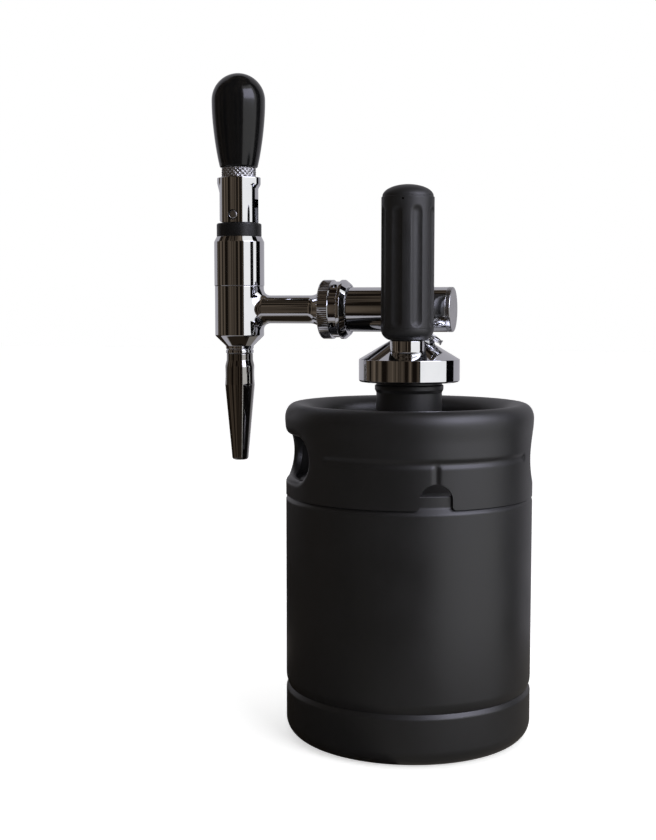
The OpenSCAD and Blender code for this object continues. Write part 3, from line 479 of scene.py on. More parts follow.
def press_beads(bm):
    """Presses each bead and its branch down to the notch into the wall, with soft edges."""
    for vert in bm.verts:
        for turn in BEAD_TURNS:
            across, up, out = facing(vert.co, turn)
            if out < 0 or abs(math.hypot(across, out) - KEG_R) > 2 * ON_SIDE or up > PRESS_TOP:
                continue
            sweep = math.degrees(math.atan2(across, out))
            past = max(0.0, abs(sweep) - BEAD_SPAN) * math.radians(1) * KEG_R
            off_bead = min(1.0, math.hypot(past, up - BEAD_Z) / BEAD_HALF)
            off_branch = min(1.0, math.hypot(across, max(0.0, up - BEAD_Z)) / BRANCH_HALF)
            flat = math.sin(off_bead * math.pi / 2) ** 2 * math.sin(off_branch * math.pi / 2) ** 2
            vert.co.xy *= 1 - BEAD_DEPTH * (1 - flat) / KEG_R


def open_hand_hole(bm, turn):
    """Cuts a hand hole and turns its edge in: a round hem that ends in a short flange."""

    def gap(co):
        across, up, out = facing(co, turn)
        on_side = out > 0 and co.xy.length > KEG_R - CHIME_WALL
        return hand_rim(across, up)[1].length - HAND_H / 2 - HEM_R if on_side else KEG_R

    def hem(co, spread, depth):
        across, up, _ = facing(co, turn)
        core, away = hand_rim(across, up)
        spot = core + away.normalized() * (HAND_H / 2 + spread)
        return on_wall(spot.x, spot.y, KEG_R - depth, turn)

    rim = cut_opening(bm, gap, lambda co: hem(co, HEM_R, 0))
    bends = [math.pi / 2 * step / HEM_STEPS for step in range(1, HEM_STEPS + 1)]
    rows = [(HEM_R * (1 - math.sin(bend)), HEM_R * (1 - math.cos(bend))) for bend in bends]
    for spread, depth in rows + [(0.0, HEM_DEPTH)]:
        old = {vert for edge in rim for vert in edge.verts}
        grown = bmesh.ops.extrude_edge_only(bm, edges=rim)["geom"]
        rim = [part for part in grown if isinstance(part, bmesh.types.BMEdge) and not old & set(part.verts)]
        for vert in {vert for edge in rim for vert in edge.verts}:
            vert.co = hem(vert.co, spread, depth)


def open_notch(bm, turn):
    """Cuts an arched notch up from the lower edge, with its lower corners flared."""
    spring = SEAM_Z + NOTCH_H - NOTCH_HALF

    def half(up):
        rise = min(FLARE_R, max(0.0, up - SEAM_Z))
        return NOTCH_HALF + FLARE_R - math.sqrt(FLARE_R**2 - (FLARE_R - rise) ** 2)

    def gap(co):
        across, up, out = facing(co, turn)
        if out < 0:
            return KEG_R
        return abs(across) - half(up) if up <= spring else math.hypot(across, up - spring) - NOTCH_HALF

    def arch(co):
        across, up, _ = facing(co, turn)
        if up <= spring:
            return on_wall(math.copysign(half(up), across), up, co.xy.length, turn)
        edge = Vector((across, up - spring)).normalized() * NOTCH_HALF
        return on_wall(edge.x, spring + edge.y, co.xy.length, turn)

    cut_opening(bm, gap, arch)


def top_chime():
    bm = chime_sheet()
    press_beads(bm)
    for turn in BEAD_TURNS:
        open_notch(bm, turn)
    for turn in HAND_TURNS:
        open_hand_hole(bm, turn)
    loose = [v for v in bm.verts if not v.link_faces]
    bmesh.ops.delete(bm, geom=loose, context="VERTS")
    bmesh.ops.recalc_face_normals(bm, faces=bm.faces)
    side = max(bm.faces, key=lambda f: f.calc_center_median().xy.length)
    if side.normal.xy.dot(side.calc_center_median().xy) < 0:
        bmesh.ops.reverse_faces(bm, faces=bm.faces)
    return bm


piece("top_skirt", top_chime(), "top_chime", wall=CHIME_WALL, edge=0.3, sharp=50)

# Neck: a short tube with a bead under the lid, and a helical ridge for the lid's thread

NECK_IN, NECK_BEAD_R = 14.0, 18.1
NECK_BEAD_RISES = (5.6, 7.0, 9.2, 9.7)
RIDGE_RISES, RIDGE_ROOT = (0.8, 1.5, 2.1, 2.8), 0.2
RIDGE_TURNS, RIDGE_LEAD, RIDGE_STEPS = 1.3, 4.0, 180
neck_low, neck_top = ends("keg_neck", Z)
lid_low, lid_top = ends("lid_cap", Z)


def neck_tube():
    foot, low, high, top = (RIM_Z + rise for rise in NECK_BEAD_RISES)
    return turned([(NECK_IN, neck_low), (NECK_R, neck_low), (NECK_R, foot, 1.5), (NECK_BEAD_R, low, 0.9),
                   (NECK_BEAD_R, high, 0.5), (NECK_R, top, 0.3), (NECK_R, neck_top, 0.6),
                   (NECK_IN, neck_top, 0.6)], closed=True)


def neck_ridge():
    """A ridge wound a little over one turn up the neck, with its root inside the tube."""
    foot, low, high, top = (lid_low + rise for rise in RIDGE_RISES)
    root = NECK_R - RIDGE_ROOT
    bm = bmesh.new()
    outline(bm, [(root, foot), (NECK_BEAD_R, low, 0.2), (NECK_BEAD_R, high, 0.2), (root, top)], closed=True)
    bmesh.ops.contextual_create(bm, geom=bm.edges[:])
    return wound(bm, RIDGE_TURNS, RIDGE_LEAD, RIDGE_STEPS)


piece("threaded_neck", together(neck_tube(), neck_ridge()), "keg_neck")

# Lid: a band under a cone, with a spot face for the relief valve

CAP_IN, CONE_TOP_R, SPOT_R = 18.16, 9.6, 4.55
BAND_H, BAND_EDGE, SPOT_RISE = 11.9, 0.1, 7.3
CAP_R = ends("lid_cap", X)[1]
ceiling = ends("lid_gasket", Z)[1]
band_top = lid_low + BAND_H
relief_seat = band_top + SPOT_RISE
cap = turned([(0, ceiling), (CAP_IN, ceiling), (CAP_IN, lid_low, 0.3), (CAP_R, lid_low, 1.1),
              (CAP_R, band_top - BAND_EDGE, 0.35), (CONE_TOP_R, lid_top, 0.6), (0, lid_top)], KEG_STEPS)
spot_face = over(RELIEF, rod(SPOT_R, relief_seat, lid_top + PAST, 64))
piece("lid_cap_polished", carved(cap, spot_face), "lid_cap")

# Pipe across the lid, on its stem, with a flat plug in the plain end

PIPE_R = PIPE.z - ends("pipe_plug", Z)[0]
PLUG_R = 8.98
STEM = Vector((-4.0, 6.0))
STEM_R, STEM_THREAD_R = 5.4, 4.4
STEM_SINK, STEM_SHORT = 1.88, 6.0
pipe_low, pipe_high = ends("manifold_pipe", X)
stem_low, stem_seat, stem_top = ends("manifold_pipe", Z)[0], lid_top - STEM_SINK, PIPE.z - STEM_SHORT
pipe = on_pipe(turned([(0, pipe_low), (PIPE_R, pipe_low, 0.4), (PIPE_R, pipe_high, 0.15), (0, pipe_high)]))
stem = turned([(0, stem_low), (STEM_THREAD_R, stem_low, 0.4), (STEM_THREAD_R, stem_seat),
               (STEM_R, stem_seat, 0.3), (STEM_R, stem_top), (0, stem_top)], 96)
piece("manifold", together(pipe, over(STEM, stem)), "manifold_pipe")

plug_low, plug_high = ends("pipe_plug", X)
plug_face = pipe_high + GAP
plug = turned([(0, plug_low), (PLUG_R, plug_low, 0.3), (PLUG_R, plug_face), (PIPE_R, plug_face, 0.12),
               (PIPE_R, plug_high, 0.6), (0, plug_high)])
piece("pipe_end_plug", on_pipe(plug), "pipe_plug")

# Gas charger: boss with a round foot on the cone, cup and fluted sleeve

BOSS_R, BOSS_FOOT_R = 8.9, 4.2
BOSS_RISE, BOSS_PROUD = 1.0, 0.1
SPIGOT_LOW_R, SPIGOT_TOP_R = 4.5, 5.0
boss_low, spigot_end = ends("charger_boss", Z)
boss_foot, boss_top = band_top + BOSS_RISE, lid_top + BOSS_PROUD
boss = turned([(0, boss_low), (SPIGOT_LOW_R, boss_low), (SPIGOT_LOW_R, boss_foot),
               (BOSS_R, boss_foot, BOSS_FOOT_R), (BOSS_R, boss_top, 0.4), (SPIGOT_TOP_R, boss_top),
               (SPIGOT_TOP_R, spigot_end), (0, spigot_end)], 128)
piece("charger_boss_polished", over(CHARGER, boss), "charger_boss")

SLEEVE_R = half_width("charger_sleeve", X)
THREAD_R = SLEEVE_R - 2.8
CUP_FOOT_R, CUP_BORE_R, MOUTH_R = 5.8, SPIGOT_TOP_R + GAP, 6.2
CUP_SEAM, CUP_FLOOR = 0.03, 4.4
cup_low, cup_thread = ends("charger_base", Z)
sleeve_low, sleeve_top = ends("charger_sleeve", Z)
cup_rim, mouth_low = sleeve_low - CUP_SEAM, boss_top + CUP_FLOOR
cup = turned([(CUP_BORE_R, cup_low), (SLEEVE_R, cup_low, CUP_FOOT_R), (SLEEVE_R, cup_rim, 0.04),
              (THREAD_R - SLIP, cup_rim), (THREAD_R - SLIP, cup_thread, 0.4), (MOUTH_R, cup_thread, 0.3),
              (MOUTH_R, mouth_low), (CUP_BORE_R, mouth_low)], 128, closed=True)
piece("charger_cup", over(CHARGER, cup), "charger_base")

FLUTES, FLUTE_TURN = 8, -57.5
FLUTE_DEPTH, FLUTE_HALF = 1.2, 3.0
FLUTE_FOOT, FLUTE_HEAD = 0.9, 5.0
SLEEVE_STEPS, SIDE_CUTS = 192, 84
DOME_H, DOME_LIFT, DOME_STEPS = 6.4, 0.3, 24
SHOULDER_STEP = 0.5
CAVITY_R, CROWN, THREAD_RELIEF = 9.4, 0.75, 1.0
VENT_R, VENT_FROM, VENT_DROP, VENT_TURN = 0.55, 8.0, 0.9, -88.5
thread_end = cup_thread + THREAD_RELIEF
shoulder = sleeve_top - DOME_H
cavity_top = shoulder - CROWN
dome_wide, dome_low = SLEEVE_R - SHOULDER_STEP, shoulder + DOME_LIFT


def charger_sleeve():
    """Sleeve with soft flutes that stop short of its shoulder and foot, a stepped dome and a fine vent."""
    bm = bmesh.new()
    outline(bm, [(0, cavity_top), (CAVITY_R, cavity_top, 0.5), (CAVITY_R, thread_end), (THREAD_R, thread_end),
                 (THREAD_R, sleeve_low), (SLEEVE_R, sleeve_low, 0.04), (SLEEVE_R, shoulder, 0.35),
                 (dome_wide, shoulder, 0.1), (dome_wide, dome_low)])
    bmesh.ops.spin(bm, geom=[bm.verts.new((dome_wide, 0, dome_low))], cent=(0, 0, dome_low), axis=(0, -1, 0),
                   angle=math.pi / 2, steps=DOME_STEPS)
    for vert in bm.verts:
        if vert.co.z > dome_low:
            vert.co.z = dome_low + (vert.co.z - dome_low) * (sleeve_top - dome_low) / dome_wide
    bmesh.ops.remove_doubles(bm, verts=bm.verts, dist=SAME)
    side = [e for e in bm.edges if all(abs(v.co.x - SLEEVE_R) < SAME for v in e.verts)]
    bmesh.ops.subdivide_edges(bm, edges=[max(side, key=lambda e: e.calc_length())], cuts=SIDE_CUTS)
    spun(bm, SLEEVE_STEPS)
    low, high = sleeve_low + FLUTE_FOOT + FLUTE_HALF, shoulder - FLUTE_HEAD - FLUTE_HALF
    for vert in bm.verts:
        radius = vert.co.xy.length
        if abs(radius - SLEEVE_R) < ON_SIDE:
            turn = math.degrees(math.atan2(vert.co.y, vert.co.x)) - FLUTE_TURN
            across = math.radians((turn + 180 / FLUTES) % (360 / FLUTES) - 180 / FLUTES) * SLEEVE_R
            past = max(0.0, low - vert.co.z, vert.co.z - high)
            off = math.hypot(across, past) / FLUTE_HALF
            dip = FLUTE_DEPTH * (1 - min(1.0, off) ** 2)
            vert.co.xy *= (radius - dip) / radius
    vent = rotated(rotated(rod(VENT_R, VENT_FROM, SLEEVE_R + PAST, 20), 90, "Y"), VENT_TURN, "Z")
    return carved(bm, moved(vent, z=cavity_top - VENT_DROP))


piece("charger_sleeve_fluted", over(CHARGER, charger_sleeve()), "charger_sleeve")

# Relief valve: hexagon body, pin with an eye, and a split ring wound from wire

HEX_R = 4.25
BARREL_R, SPRING_ROOM_R, PIN_HOLE_R = 3.5, 2.6, 1.06
SPRING_PLAY = 0.1
relief_low, relief_top = ends("relief_body", Z)
spring_low, spring_top = ends("relief_spring", Z)


def ease(bm, edges, offset, segments):
    """Takes the sharpness off some edges."""
    bmesh.ops.bevel(bm, geom=edges, offset=offset, offset_type="OFFSET", affect="EDGES", segments=segments,
                    profile=0.5, material=-1)


def relief_hexagon():
    """Hexagon with eased edges, drilled for the pin and bored for the spring."""
    bm = bmesh.new()
    height = relief_top - relief_seat - GAP
    bmesh.ops.create_cone(bm, cap_ends=True, segments=6, radius1=HEX_R, radius2=HEX_R, depth=height)
    rotated(bm, 30, "Z")
    ease(bm, [e for e in bm.edges if all(v.co.z > 0 for v in e.verts)], offset=0.5, segments=3)
    upright = [e for e in bm.edges if abs(e.verts[0].co.z - e.verts[1].co.z) > height / 2]
    ease(bm, upright, offset=0.12, segments=2)
    moved(bm, z=relief_top - height / 2)
    pin_hole = rod(PIN_HOLE_R, relief_seat - PAST, relief_top + PAST, 32)
    return carved(bm, pin_hole, rod(SPRING_ROOM_R, relief_seat - PAST, spring_top + SPRING_PLAY))


barrel_top = relief_seat + OVERLAP
relief_barrel = turned([(SPRING_ROOM_R, relief_low), (BARREL_R, relief_low, 0.3), (BARREL_R, barrel_top),
                        (SPRING_ROOM_R, barrel_top)], 64, closed=True)
piece("relief_valve_body", over(RELIEF, together(relief_hexagon(), relief_barrel)), "relief_body")

EYE_R, EYE_IN, EYE_HALF = 2.5, 1.45, 1.0
STALK_R, STALK_FOOT_R, STALK_FOOT_H = 1.0, 2.3, 1.0
STALK_SHORT = 1.8
RING_TURN, RING_DIP, RING_ROLL = 2.0, 32.0, 4.0
RING_R, RING_PITCH, WIRE_R = 4.5, 0.98, 0.45
stalk_low, eye_top = ends("relief_pin", Z)
eye_z = eye_top - EYE_R
stalk_top, foot_top = eye_z - STALK_SHORT, stalk_low + STALK_FOOT_H
eye = turned([(EYE_IN, -EYE_HALF, 0.3), (EYE_R, -EYE_HALF, 0.25), (EYE_R, EYE_HALF, 0.25),
              (EYE_IN, EYE_HALF, 0.3)], 48, closed=True)
eye = moved(rotated(rotated(eye, 90, "X"), RING_TURN, "Z"), z=eye_z)
stalk = turned([(0, stalk_low), (STALK_FOOT_R, stalk_low), (STALK_FOOT_R, foot_top, 0.2), (STALK_R, foot_top),
                (STALK_R, stalk_top), (0, stalk_top)], 40)
piece("relief_valve_pin", over(RELIEF, together(eye, stalk)), "relief_pin")


def wire_coil(wire, radius, low, pitch, turns, steps):
    """Round wire wound upwards round Z in steps a turn, with its two ends cut square."""
    bm = bmesh.new()
    bmesh.ops.create_circle(bm, cap_ends=True, segments=14, radius=wire)
    moved(rotated(bm, 90, "X"), radius, 0, low)
    return wound(bm, turns, pitch, turns * steps)


def pull_ring():
    """Two turns of wire, hanging a little rolled towards the front."""
    bm = wire_coil(WIRE_R, RING_R, low=-RING_PITCH, pitch=RING_PITCH, turns=2, steps=72)
    rotated(moved(bm, RING_R), RING_ROLL, "X")
    rotated(rotated(bm, RING_DIP, "Y"), RING_TURN, "Z")
    return over(RELIEF, moved(bm, z=eye_z))


piece("split_pull_ring", pull_ring(), "pull_ring", sharp=50)

# The real spring shortens towards the top of its room as the pin is pulled; this coil is wound to fill its
# room, on a mesh of its own
SPRING_WIRE_R, SPRING_R, SPRING_TURNS = 0.27, 1.75, 6
spring_length = spring_top - spring_low
coil_pitch = (spring_length - 2 * SPRING_WIRE_R) / SPRING_TURNS
coil = wire_coil(SPRING_WIRE_R, SPRING_R, low=spring_low + SPRING_WIRE_R, pitch=coil_pitch,
                 turns=SPRING_TURNS, steps=36)
coil = piece("relief_spring_coil", over(RELIEF, coil), "relief_spring", sharp=50)
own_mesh(coil)

# Coupling nut: straight knurl, recessed band with spanner holes, bright flange and chamfer

NUT_R = half_width("coupling_nut", Z)
SHANK_R = NUT_R - 2.9
TAIL_NECK_R = 10.0
# Distances from the nut's tap end
CHAMFER_END, KNURL_END = 0.6, 6.0
CUT_FROM, CUT_TO = 0.05, 5.8
BAND_START, BAND_END = 6.15, 10.4
FLANGE_START, FLANGE_END = 10.55, 12.4
HOLE_AT, WEB = 8.2, 3.0
# Distances along its radius
BAND_DEPTH, CHAMFER_IN, MOUTH_WALL, WEB_GAP = 0.9, 0.4, 0.8, 0.2
KNURLS, KNURL_STEPS, KNURL_DEPTH = 84, 4, 0.22
HOLE_R, HOLE_TURNS = 1.6, (57, 147, 237, 327)
nut_low, nut_high = ends("coupling_nut", X)


def coupling_nut():
    bm = bmesh.new()
    band_r, bore_r, web_r = NUT_R - BAND_DEPTH, SHANK_R + SLIP, TAIL_NECK_R + WEB_GAP
    length = nut_high - nut_low
    outline(bm, [(web_r, 0), (NUT_R - CHAMFER_IN, 0, 0.2), (NUT_R, CHAMFER_END, 0.2),
                 (NUT_R, KNURL_END, 0.25), (band_r, BAND_START, 0.1), (band_r, BAND_END, 0.1),
                 (NUT_R, FLANGE_START, 0.25), (NUT_R, FLANGE_END, 0.3), (SHANK_R + MOUTH_WALL, length, 0.3),
                 (bore_r, length), (bore_r, WEB), (web_r, WEB)], closed=True)
    spun(bm, KNURL_STEPS * KNURLS)
    for vert in bm.verts:
        radius = vert.co.xy.length
        if CUT_FROM < vert.co.z < CUT_TO and radius > band_r:
            wave = 0.5 - 0.5 * math.cos(KNURLS * math.atan2(vert.co.y, vert.co.x))
            vert.co.xy *= 1 - KNURL_DEPTH * wave / radius
    for turn in HOLE_TURNS:
        hole = rotated(rotated(rod(HOLE_R, SHANK_R - PAST, NUT_R + PAST, 28), 90, "X"), -turn, "Z")
        bm = carved(bm, moved(hole, z=HOLE_AT))
    return moved(rotated(bm, 90, "Z"), z=nut_low)


piece("coupling_nut_knurled", on_pipe(coupling_nut()), "coupling_nut")

# Tap: body with a grooved collar and a flared tail, bonnet and cam washer

BODY_R, COLLAR_R, COLLAR_FLARE, SPIGOT_R = 13.5, 7.65, 0.1, 5.5
CHAMBER_R, OUTLET_R, TAIL_BORE_R = 8.05, 4.0, 5.0
JOINT_R = 11.0
BODY_DROP, CONE_DROP, COLLAR_DROP = 14.4, 5.6, 4.1
GROOVE_RISES, GROOVE_IN = (1.7, 1.9, 2.3, 2.5), 0.45
TAIL_R, TAIL_FLANGE_R = 7.6, SHANK_R - 0.4
FLARE_START, FLARE_END, FLANGE_PLAY = 5.4, 0.6, 0.05
CHAMBER_WALL = 0.6
FILLET_SIDE, FILLET_TOP = 3.5, 4.6
# Shares: how near the corner pulls the fillet's curve, and how far out to the corner its hidden side lies
FILLET_PULL, FILLET_BACK = 0.6, 0.95
bonnet_low, bonnet_top = ends("tap_bonnet", Z)
spigot_low, body_end = ends("tap_body", Z)
body_top = bonnet_low - GAP
body_low = PIPE.z - BODY_DROP
cone_low = body_low - CONE_DROP
collar_low = cone_low - COLLAR_DROP
valve_seat = ends("seat_washer", Z)[0] - GAP


def tap_barrel():
    """Body turned round the tap's axis: spigot, grooved collar, cone, barrel and joint for the bonnet."""
    low, in_low, in_top, top = (collar_low + rise for rise in GROOVE_RISES)
    groove_r = COLLAR_R - GROOVE_IN
    return turned([(OUTLET_R, spigot_low), (SPIGOT_R, spigot_low, 0.3), (SPIGOT_R, collar_low),
                   (COLLAR_R, collar_low, 0.25), (COLLAR_R, low, 0.25), (groove_r, in_low, 0.1),
                   (groove_r, in_top, 0.1), (COLLAR_R, top, 0.25), (COLLAR_R + COLLAR_FLARE, cone_low, 0.5),
                   (BODY_R, body_low, 1.2), (BODY_R, body_top, 0.3), (JOINT_R, body_top),
                   (JOINT_R, body_end, 0.4), (CHAMBER_R, body_end), (CHAMBER_R, valve_seat),
                   (OUTLET_R, valve_seat)], 192, closed=True)


def tap_tail():
    """Tail pipe, flared to a neck in the nut's web, with a flange behind the web."""
    start, end = TAP.x + CHAMBER_R + CHAMBER_WALL, ends("tap_body", X)[1]
    face = nut_low + WEB + FLANGE_PLAY
    return turned([(TAIL_BORE_R, start), (TAIL_R, start), (TAIL_R, nut_low - FLARE_START, 7.0),
                   (TAIL_NECK_R, nut_low - FLARE_END, 0.4), (TAIL_NECK_R, face), (TAIL_FLANGE_R, face),
                   (TAIL_FLANGE_R, end), (TAIL_BORE_R, end)], closed=True)


def tail_fillet(around=96, along=12):
    """Skirt that leaves the tail along its side, lands flush on the body, and closes inside the two."""
    bm = bmesh.new()
    rows = along + 2
    bmesh.ops.create_grid(bm, x_segments=around, y_segments=rows, size=0.5)
    for vert in bm.verts:
        turn, row = (vert.co.x + 0.5) * math.tau, round((vert.co.y + 0.5) * rows)
        across, up = math.cos(turn), math.sin(turn)
        reach = FILLET_SIDE + (FILLET_TOP - FILLET_SIDE) * up**2
        skirt_r = TAIL_R + reach
        root = Vector((math.sqrt(BODY_R**2 - (TAIL_R * across) ** 2), TAIL_R * across, TAIL_R * up))
        land = Vector((math.sqrt(BODY_R**2 - (skirt_r * across) ** 2), skirt_r * across, skirt_r * up))
        flush = Vector((-skirt_r * across**2 / land.x, across, up)).normalized()
        start = root + Vector((reach, 0, 0))
        if row <= along:
            share, rest = row / along, 1 - row / along
            pulls = (start, start.lerp(root, FILLET_PULL),
                     land - flush * FILLET_PULL * (land - root).length, land)
            weights = (rest**3, 3 * rest**2 * share, 3 * rest * share**2, share**3)
            vert.co = sum((pull * weight for pull, weight in zip(pulls, weights)), Vector())
        else:
            vert.co = root * FILLET_BACK if row < rows else start
    return moved(closed_up(bm), TAP.x, TAP.y, PIPE.z)


piece("tap_body_polished", together(over(TAP, tap_barrel()), on_pipe(tap_tail()), tail_fillet()), "tap_body")

BONNET_R, BONNET_TOP_R, BONNET_SLOPE = 13.75, 12.3, 2.9
SHAFT_GAP_R, ROOF_RISE = 5.06, 3.0
bonnet_roof = body_end + ROOF_RISE
bonnet = turned([(JOINT_R + GAP, bonnet_low), (BONNET_R, bonnet_low, 0.3),
                 (BONNET_R, bonnet_top - BONNET_SLOPE, 0.7), (BONNET_TOP_R, bonnet_top, 0.3),
                 (SHAFT_GAP_R, bonnet_top), (SHAFT_GAP_R, bonnet_roof), (JOINT_R + GAP, bonnet_roof)],
                192, closed=True)
piece("tap_bonnet_polished", over(TAP, bonnet), "tap_bonnet")

WASHER_R = 12.3
washer_low, washer_top = ends("cam_washer", Z)
washer = turned([(SHAFT_GAP_R, washer_low), (WASHER_R, washer_low, 0.3), (WASHER_R, washer_top, 0.9),
                 (SHAFT_GAP_R, washer_top, 0.2)], closed=True)
piece("cam_washer_black", over(TAP, washer), "cam_washer")

# Nozzle: slim taper with a soft bulge, and a shallow hollow flat on each side of the bulge

NOZZLE_WIDE_R, NOZZLE_TOP_R, NOZZLE_TIP_R = 8.3, 7.25, 4.6
TIP_BORE_R, LOW_BORE_R, INSERT_BORE_R = 2.4, 3.2, 4.9
TIP_H, TIP_EDGE, LOW_BORE_H = 2.3, 0.2, 8.0
BULGE_DROP, BULGE_TOP_DROP, WAIST_DROP = 17.1, 7.5, 3.6
BULGE_LEAN, BULGE_CUTS = 0.1, 16
# Edges of the outer side longer than this, and up from this far below the bulge, get finer rows
ROW_LENGTH, ROW_REACH, OUTER_R = 1.0, 8.0, 7.0
INSERT_STOP = 3.0
FLAT_TURN, FLAT_AT, FLAT_RISE, FLAT_REACH = 12.0, 7.6, 5.5, 5.0
HOLLOW_R = 45.0
nozzle_low, nozzle_top = ends("nozzle", Z)
bulge_z = nozzle_top - BULGE_DROP
flat_z = bulge_z + FLAT_RISE


def stout_nozzle():
    """Turned nozzle whose bulge gets rows fine enough for the flats, which are then pressed in."""
    bm = bmesh.new()
    socket_r, stop = SPIGOT_R + GAP, bulge_z + INSERT_STOP
    outline(bm, [(TIP_BORE_R, nozzle_low, 0.4), (NOZZLE_TIP_R - TIP_EDGE, nozzle_low, 1.3),
                 (NOZZLE_TIP_R, nozzle_low + TIP_H, 4.0), (NOZZLE_WIDE_R, bulge_z, 9.0),
                 (NOZZLE_WIDE_R - BULGE_LEAN, nozzle_top - BULGE_TOP_DROP, 6.0),
                 (NOZZLE_TOP_R, nozzle_top - WAIST_DROP, 3.0), (NOZZLE_TOP_R, nozzle_top, 0.5),
                 (socket_r, nozzle_top), (socket_r, stop), (INSERT_BORE_R, stop), (INSERT_BORE_R, bulge_z),
                 (LOW_BORE_R, nozzle_low + LOW_BORE_H)], closed=True)
    bulge = [e for e in bm.edges if e.calc_length() > ROW_LENGTH
             and all(v.co.x > OUTER_R and v.co.z > bulge_z - ROW_REACH for v in e.verts)]
    bmesh.ops.subdivide_edges(bm, edges=bulge, cuts=BULGE_CUTS)
    spun(bm, 192)
    rotation = Matrix.Rotation(math.radians(FLAT_TURN), 3, "Z")
    for vert in bm.verts:
        if vert.co.z > bulge_z - FLAT_REACH:
            square_on = rotation.transposed() @ vert.co
            hollow = FLAT_AT + (vert.co.z - flat_z) ** 2 / (2 * HOLLOW_R)
            square_on.x = max(-hollow, min(hollow, square_on.x))
            vert.co = rotation @ square_on
    return bm


piece("stout_nozzle", over(TAP, stout_nozzle()), "nozzle", sharp=24)

# Lever: forked yoke with a cam corner on a domed cross pin, knurled ring and teardrop handle

YOKE_R, FLANGE_R = 10.65, 12.2
LUG_OVAL, LUG_APART, LUG_ROOT = 0.74, 0.3, 2.0
# How far below the yoke's top each lug starts and has its bend
FRONT_LUG, BACK_LUG = (9.6, 2.9), (6.6, 3.9)
SLOT_W, SLOT_RISE = 6.4, 8.6
CAM_K, CAM_STEPS = 6.0, 12
TILT = 50
PIN_R, PIN_DOME = 2.75, 0.9
# Reach of the tools that cut the yoke, well past it on every side
TOOL_DOWN, TOOL_OUT = 4.0, 30.0
pin_z = middle("lever_pin").z
yoke_low, yoke_top = ends("lever_yoke", Z)
cam_h = pin_z - yoke_low


def cam_cutter():
    """What the lever's corner loses so that it rolls on the washer as it tilts."""
    bm = bmesh.new()
    points = [(-CAM_K, -cam_h - TOOL_DOWN)]
    for step in range(CAM_STEPS + 1):
        t = math.radians(TILT * step / CAM_STEPS)
        h = cam_h + CAM_K * t
        points.append((-h * math.sin(t) - CAM_K * math.cos(t), -h * math.cos(t) + CAM_K * math.sin(t)))
    points += [(-TOOL_OUT, points[-1][1]), (-TOOL_OUT, -cam_h - TOOL_DOWN)]
    outline(bm, points, closed=True)
    face = bmesh.ops.contextual_create(bm, geom=bm.edges[:])["faces"]
    moved(bm, y=-TOOL_OUT)
    swept = bmesh.ops.extrude_face_region(bm, geom=face)["geom"]
    far = [part for part in swept if isinstance(part, bmesh.types.BMVert)]
    bmesh.ops.translate(bm, vec=(0, 2 * TOOL_OUT, 0), verts=far)
    return moved(closed_up(bm), z=pin_z)


def slot_cutter():
    bm = bmesh.new()
    top, low = pin_z + SLOT_RISE, yoke_low - TOOL_DOWN
    bmesh.ops.create_cube(bm, size=1)
    bmesh.ops.scale(bm, vec=(2 * TOOL_OUT, SLOT_W, top - low), verts=bm.verts)
    return moved(bm, z=(top + low) / 2)


def lug(side, drop, bend_drop):
    """A lug on one side of the yoke: the end of an oval from above, and below it runs into the yoke."""
    low, bend = yoke_top - drop, yoke_top - bend_drop
    bm = turned([(YOKE_R - LUG_ROOT, low), (YOKE_R - OVERLAP, low), (FLANGE_R, bend, 2.2),
                 (FLANGE_R, yoke_top, 0.35), (YOKE_R - LUG_ROOT, yoke_top)], 192, closed=True)
    bmesh.ops.scale(bm, vec=(1, LUG_OVAL, 1), verts=bm.verts)
    trimmed(bm, (side * LUG_APART, 0, 0), (side, 0, 0))
    bmesh.ops.holes_fill(bm, edges=[e for e in bm.edges if e.is_boundary])
    return closed_up(bm)


def lever_yoke():
    """Forked cylinder with a long lug on its front side and a short one on its tail side."""
    blank = turned([(0, yoke_low), (YOKE_R, yoke_low, 0.35), (YOKE_R, yoke_top, 0.35), (0, yoke_top)], 192)
    bore = moved(rotated(rod(PIN_R + SLIP, -TOOL_OUT, TOOL_OUT), 90, "X"), z=pin_z)
    return together(carved(blank, slot_cutter(), cam_cutter(), bore), lug(-1, *FRONT_LUG), lug(1, *BACK_LUG))


piece("lever_yoke_polished", over(TAP, lever_yoke()), "lever_yoke")

pin_half = half_width("lever_pin", Y)
pin_face_r, pin_side = PIN_R - PIN_DOME, pin_half - PIN_DOME
pin = turned([(0, -pin_half), (pin_face_r, -pin_half, 1.5), (PIN_R, -pin_side, 0.4), (PIN_R, pin_side, 0.4),
              (pin_face_r, pin_half, 1.5), (0, pin_half)], 64)
piece("lever_cross_pin", over(TAP, moved(rotated(pin, 90, "X"), z=pin_z)), "lever_pin")

LOCK_R, LOCK_IN = half_width("lock_ring", X), 4.02
LOCK_EDGE, LOCK_PLAIN = 0.3, 0.8
DIAMONDS, DIAMOND_STEPS, DIAMOND_DEPTH = 26, 6, 0.5
lock_low, lock_high = ends("lock_ring", Z)


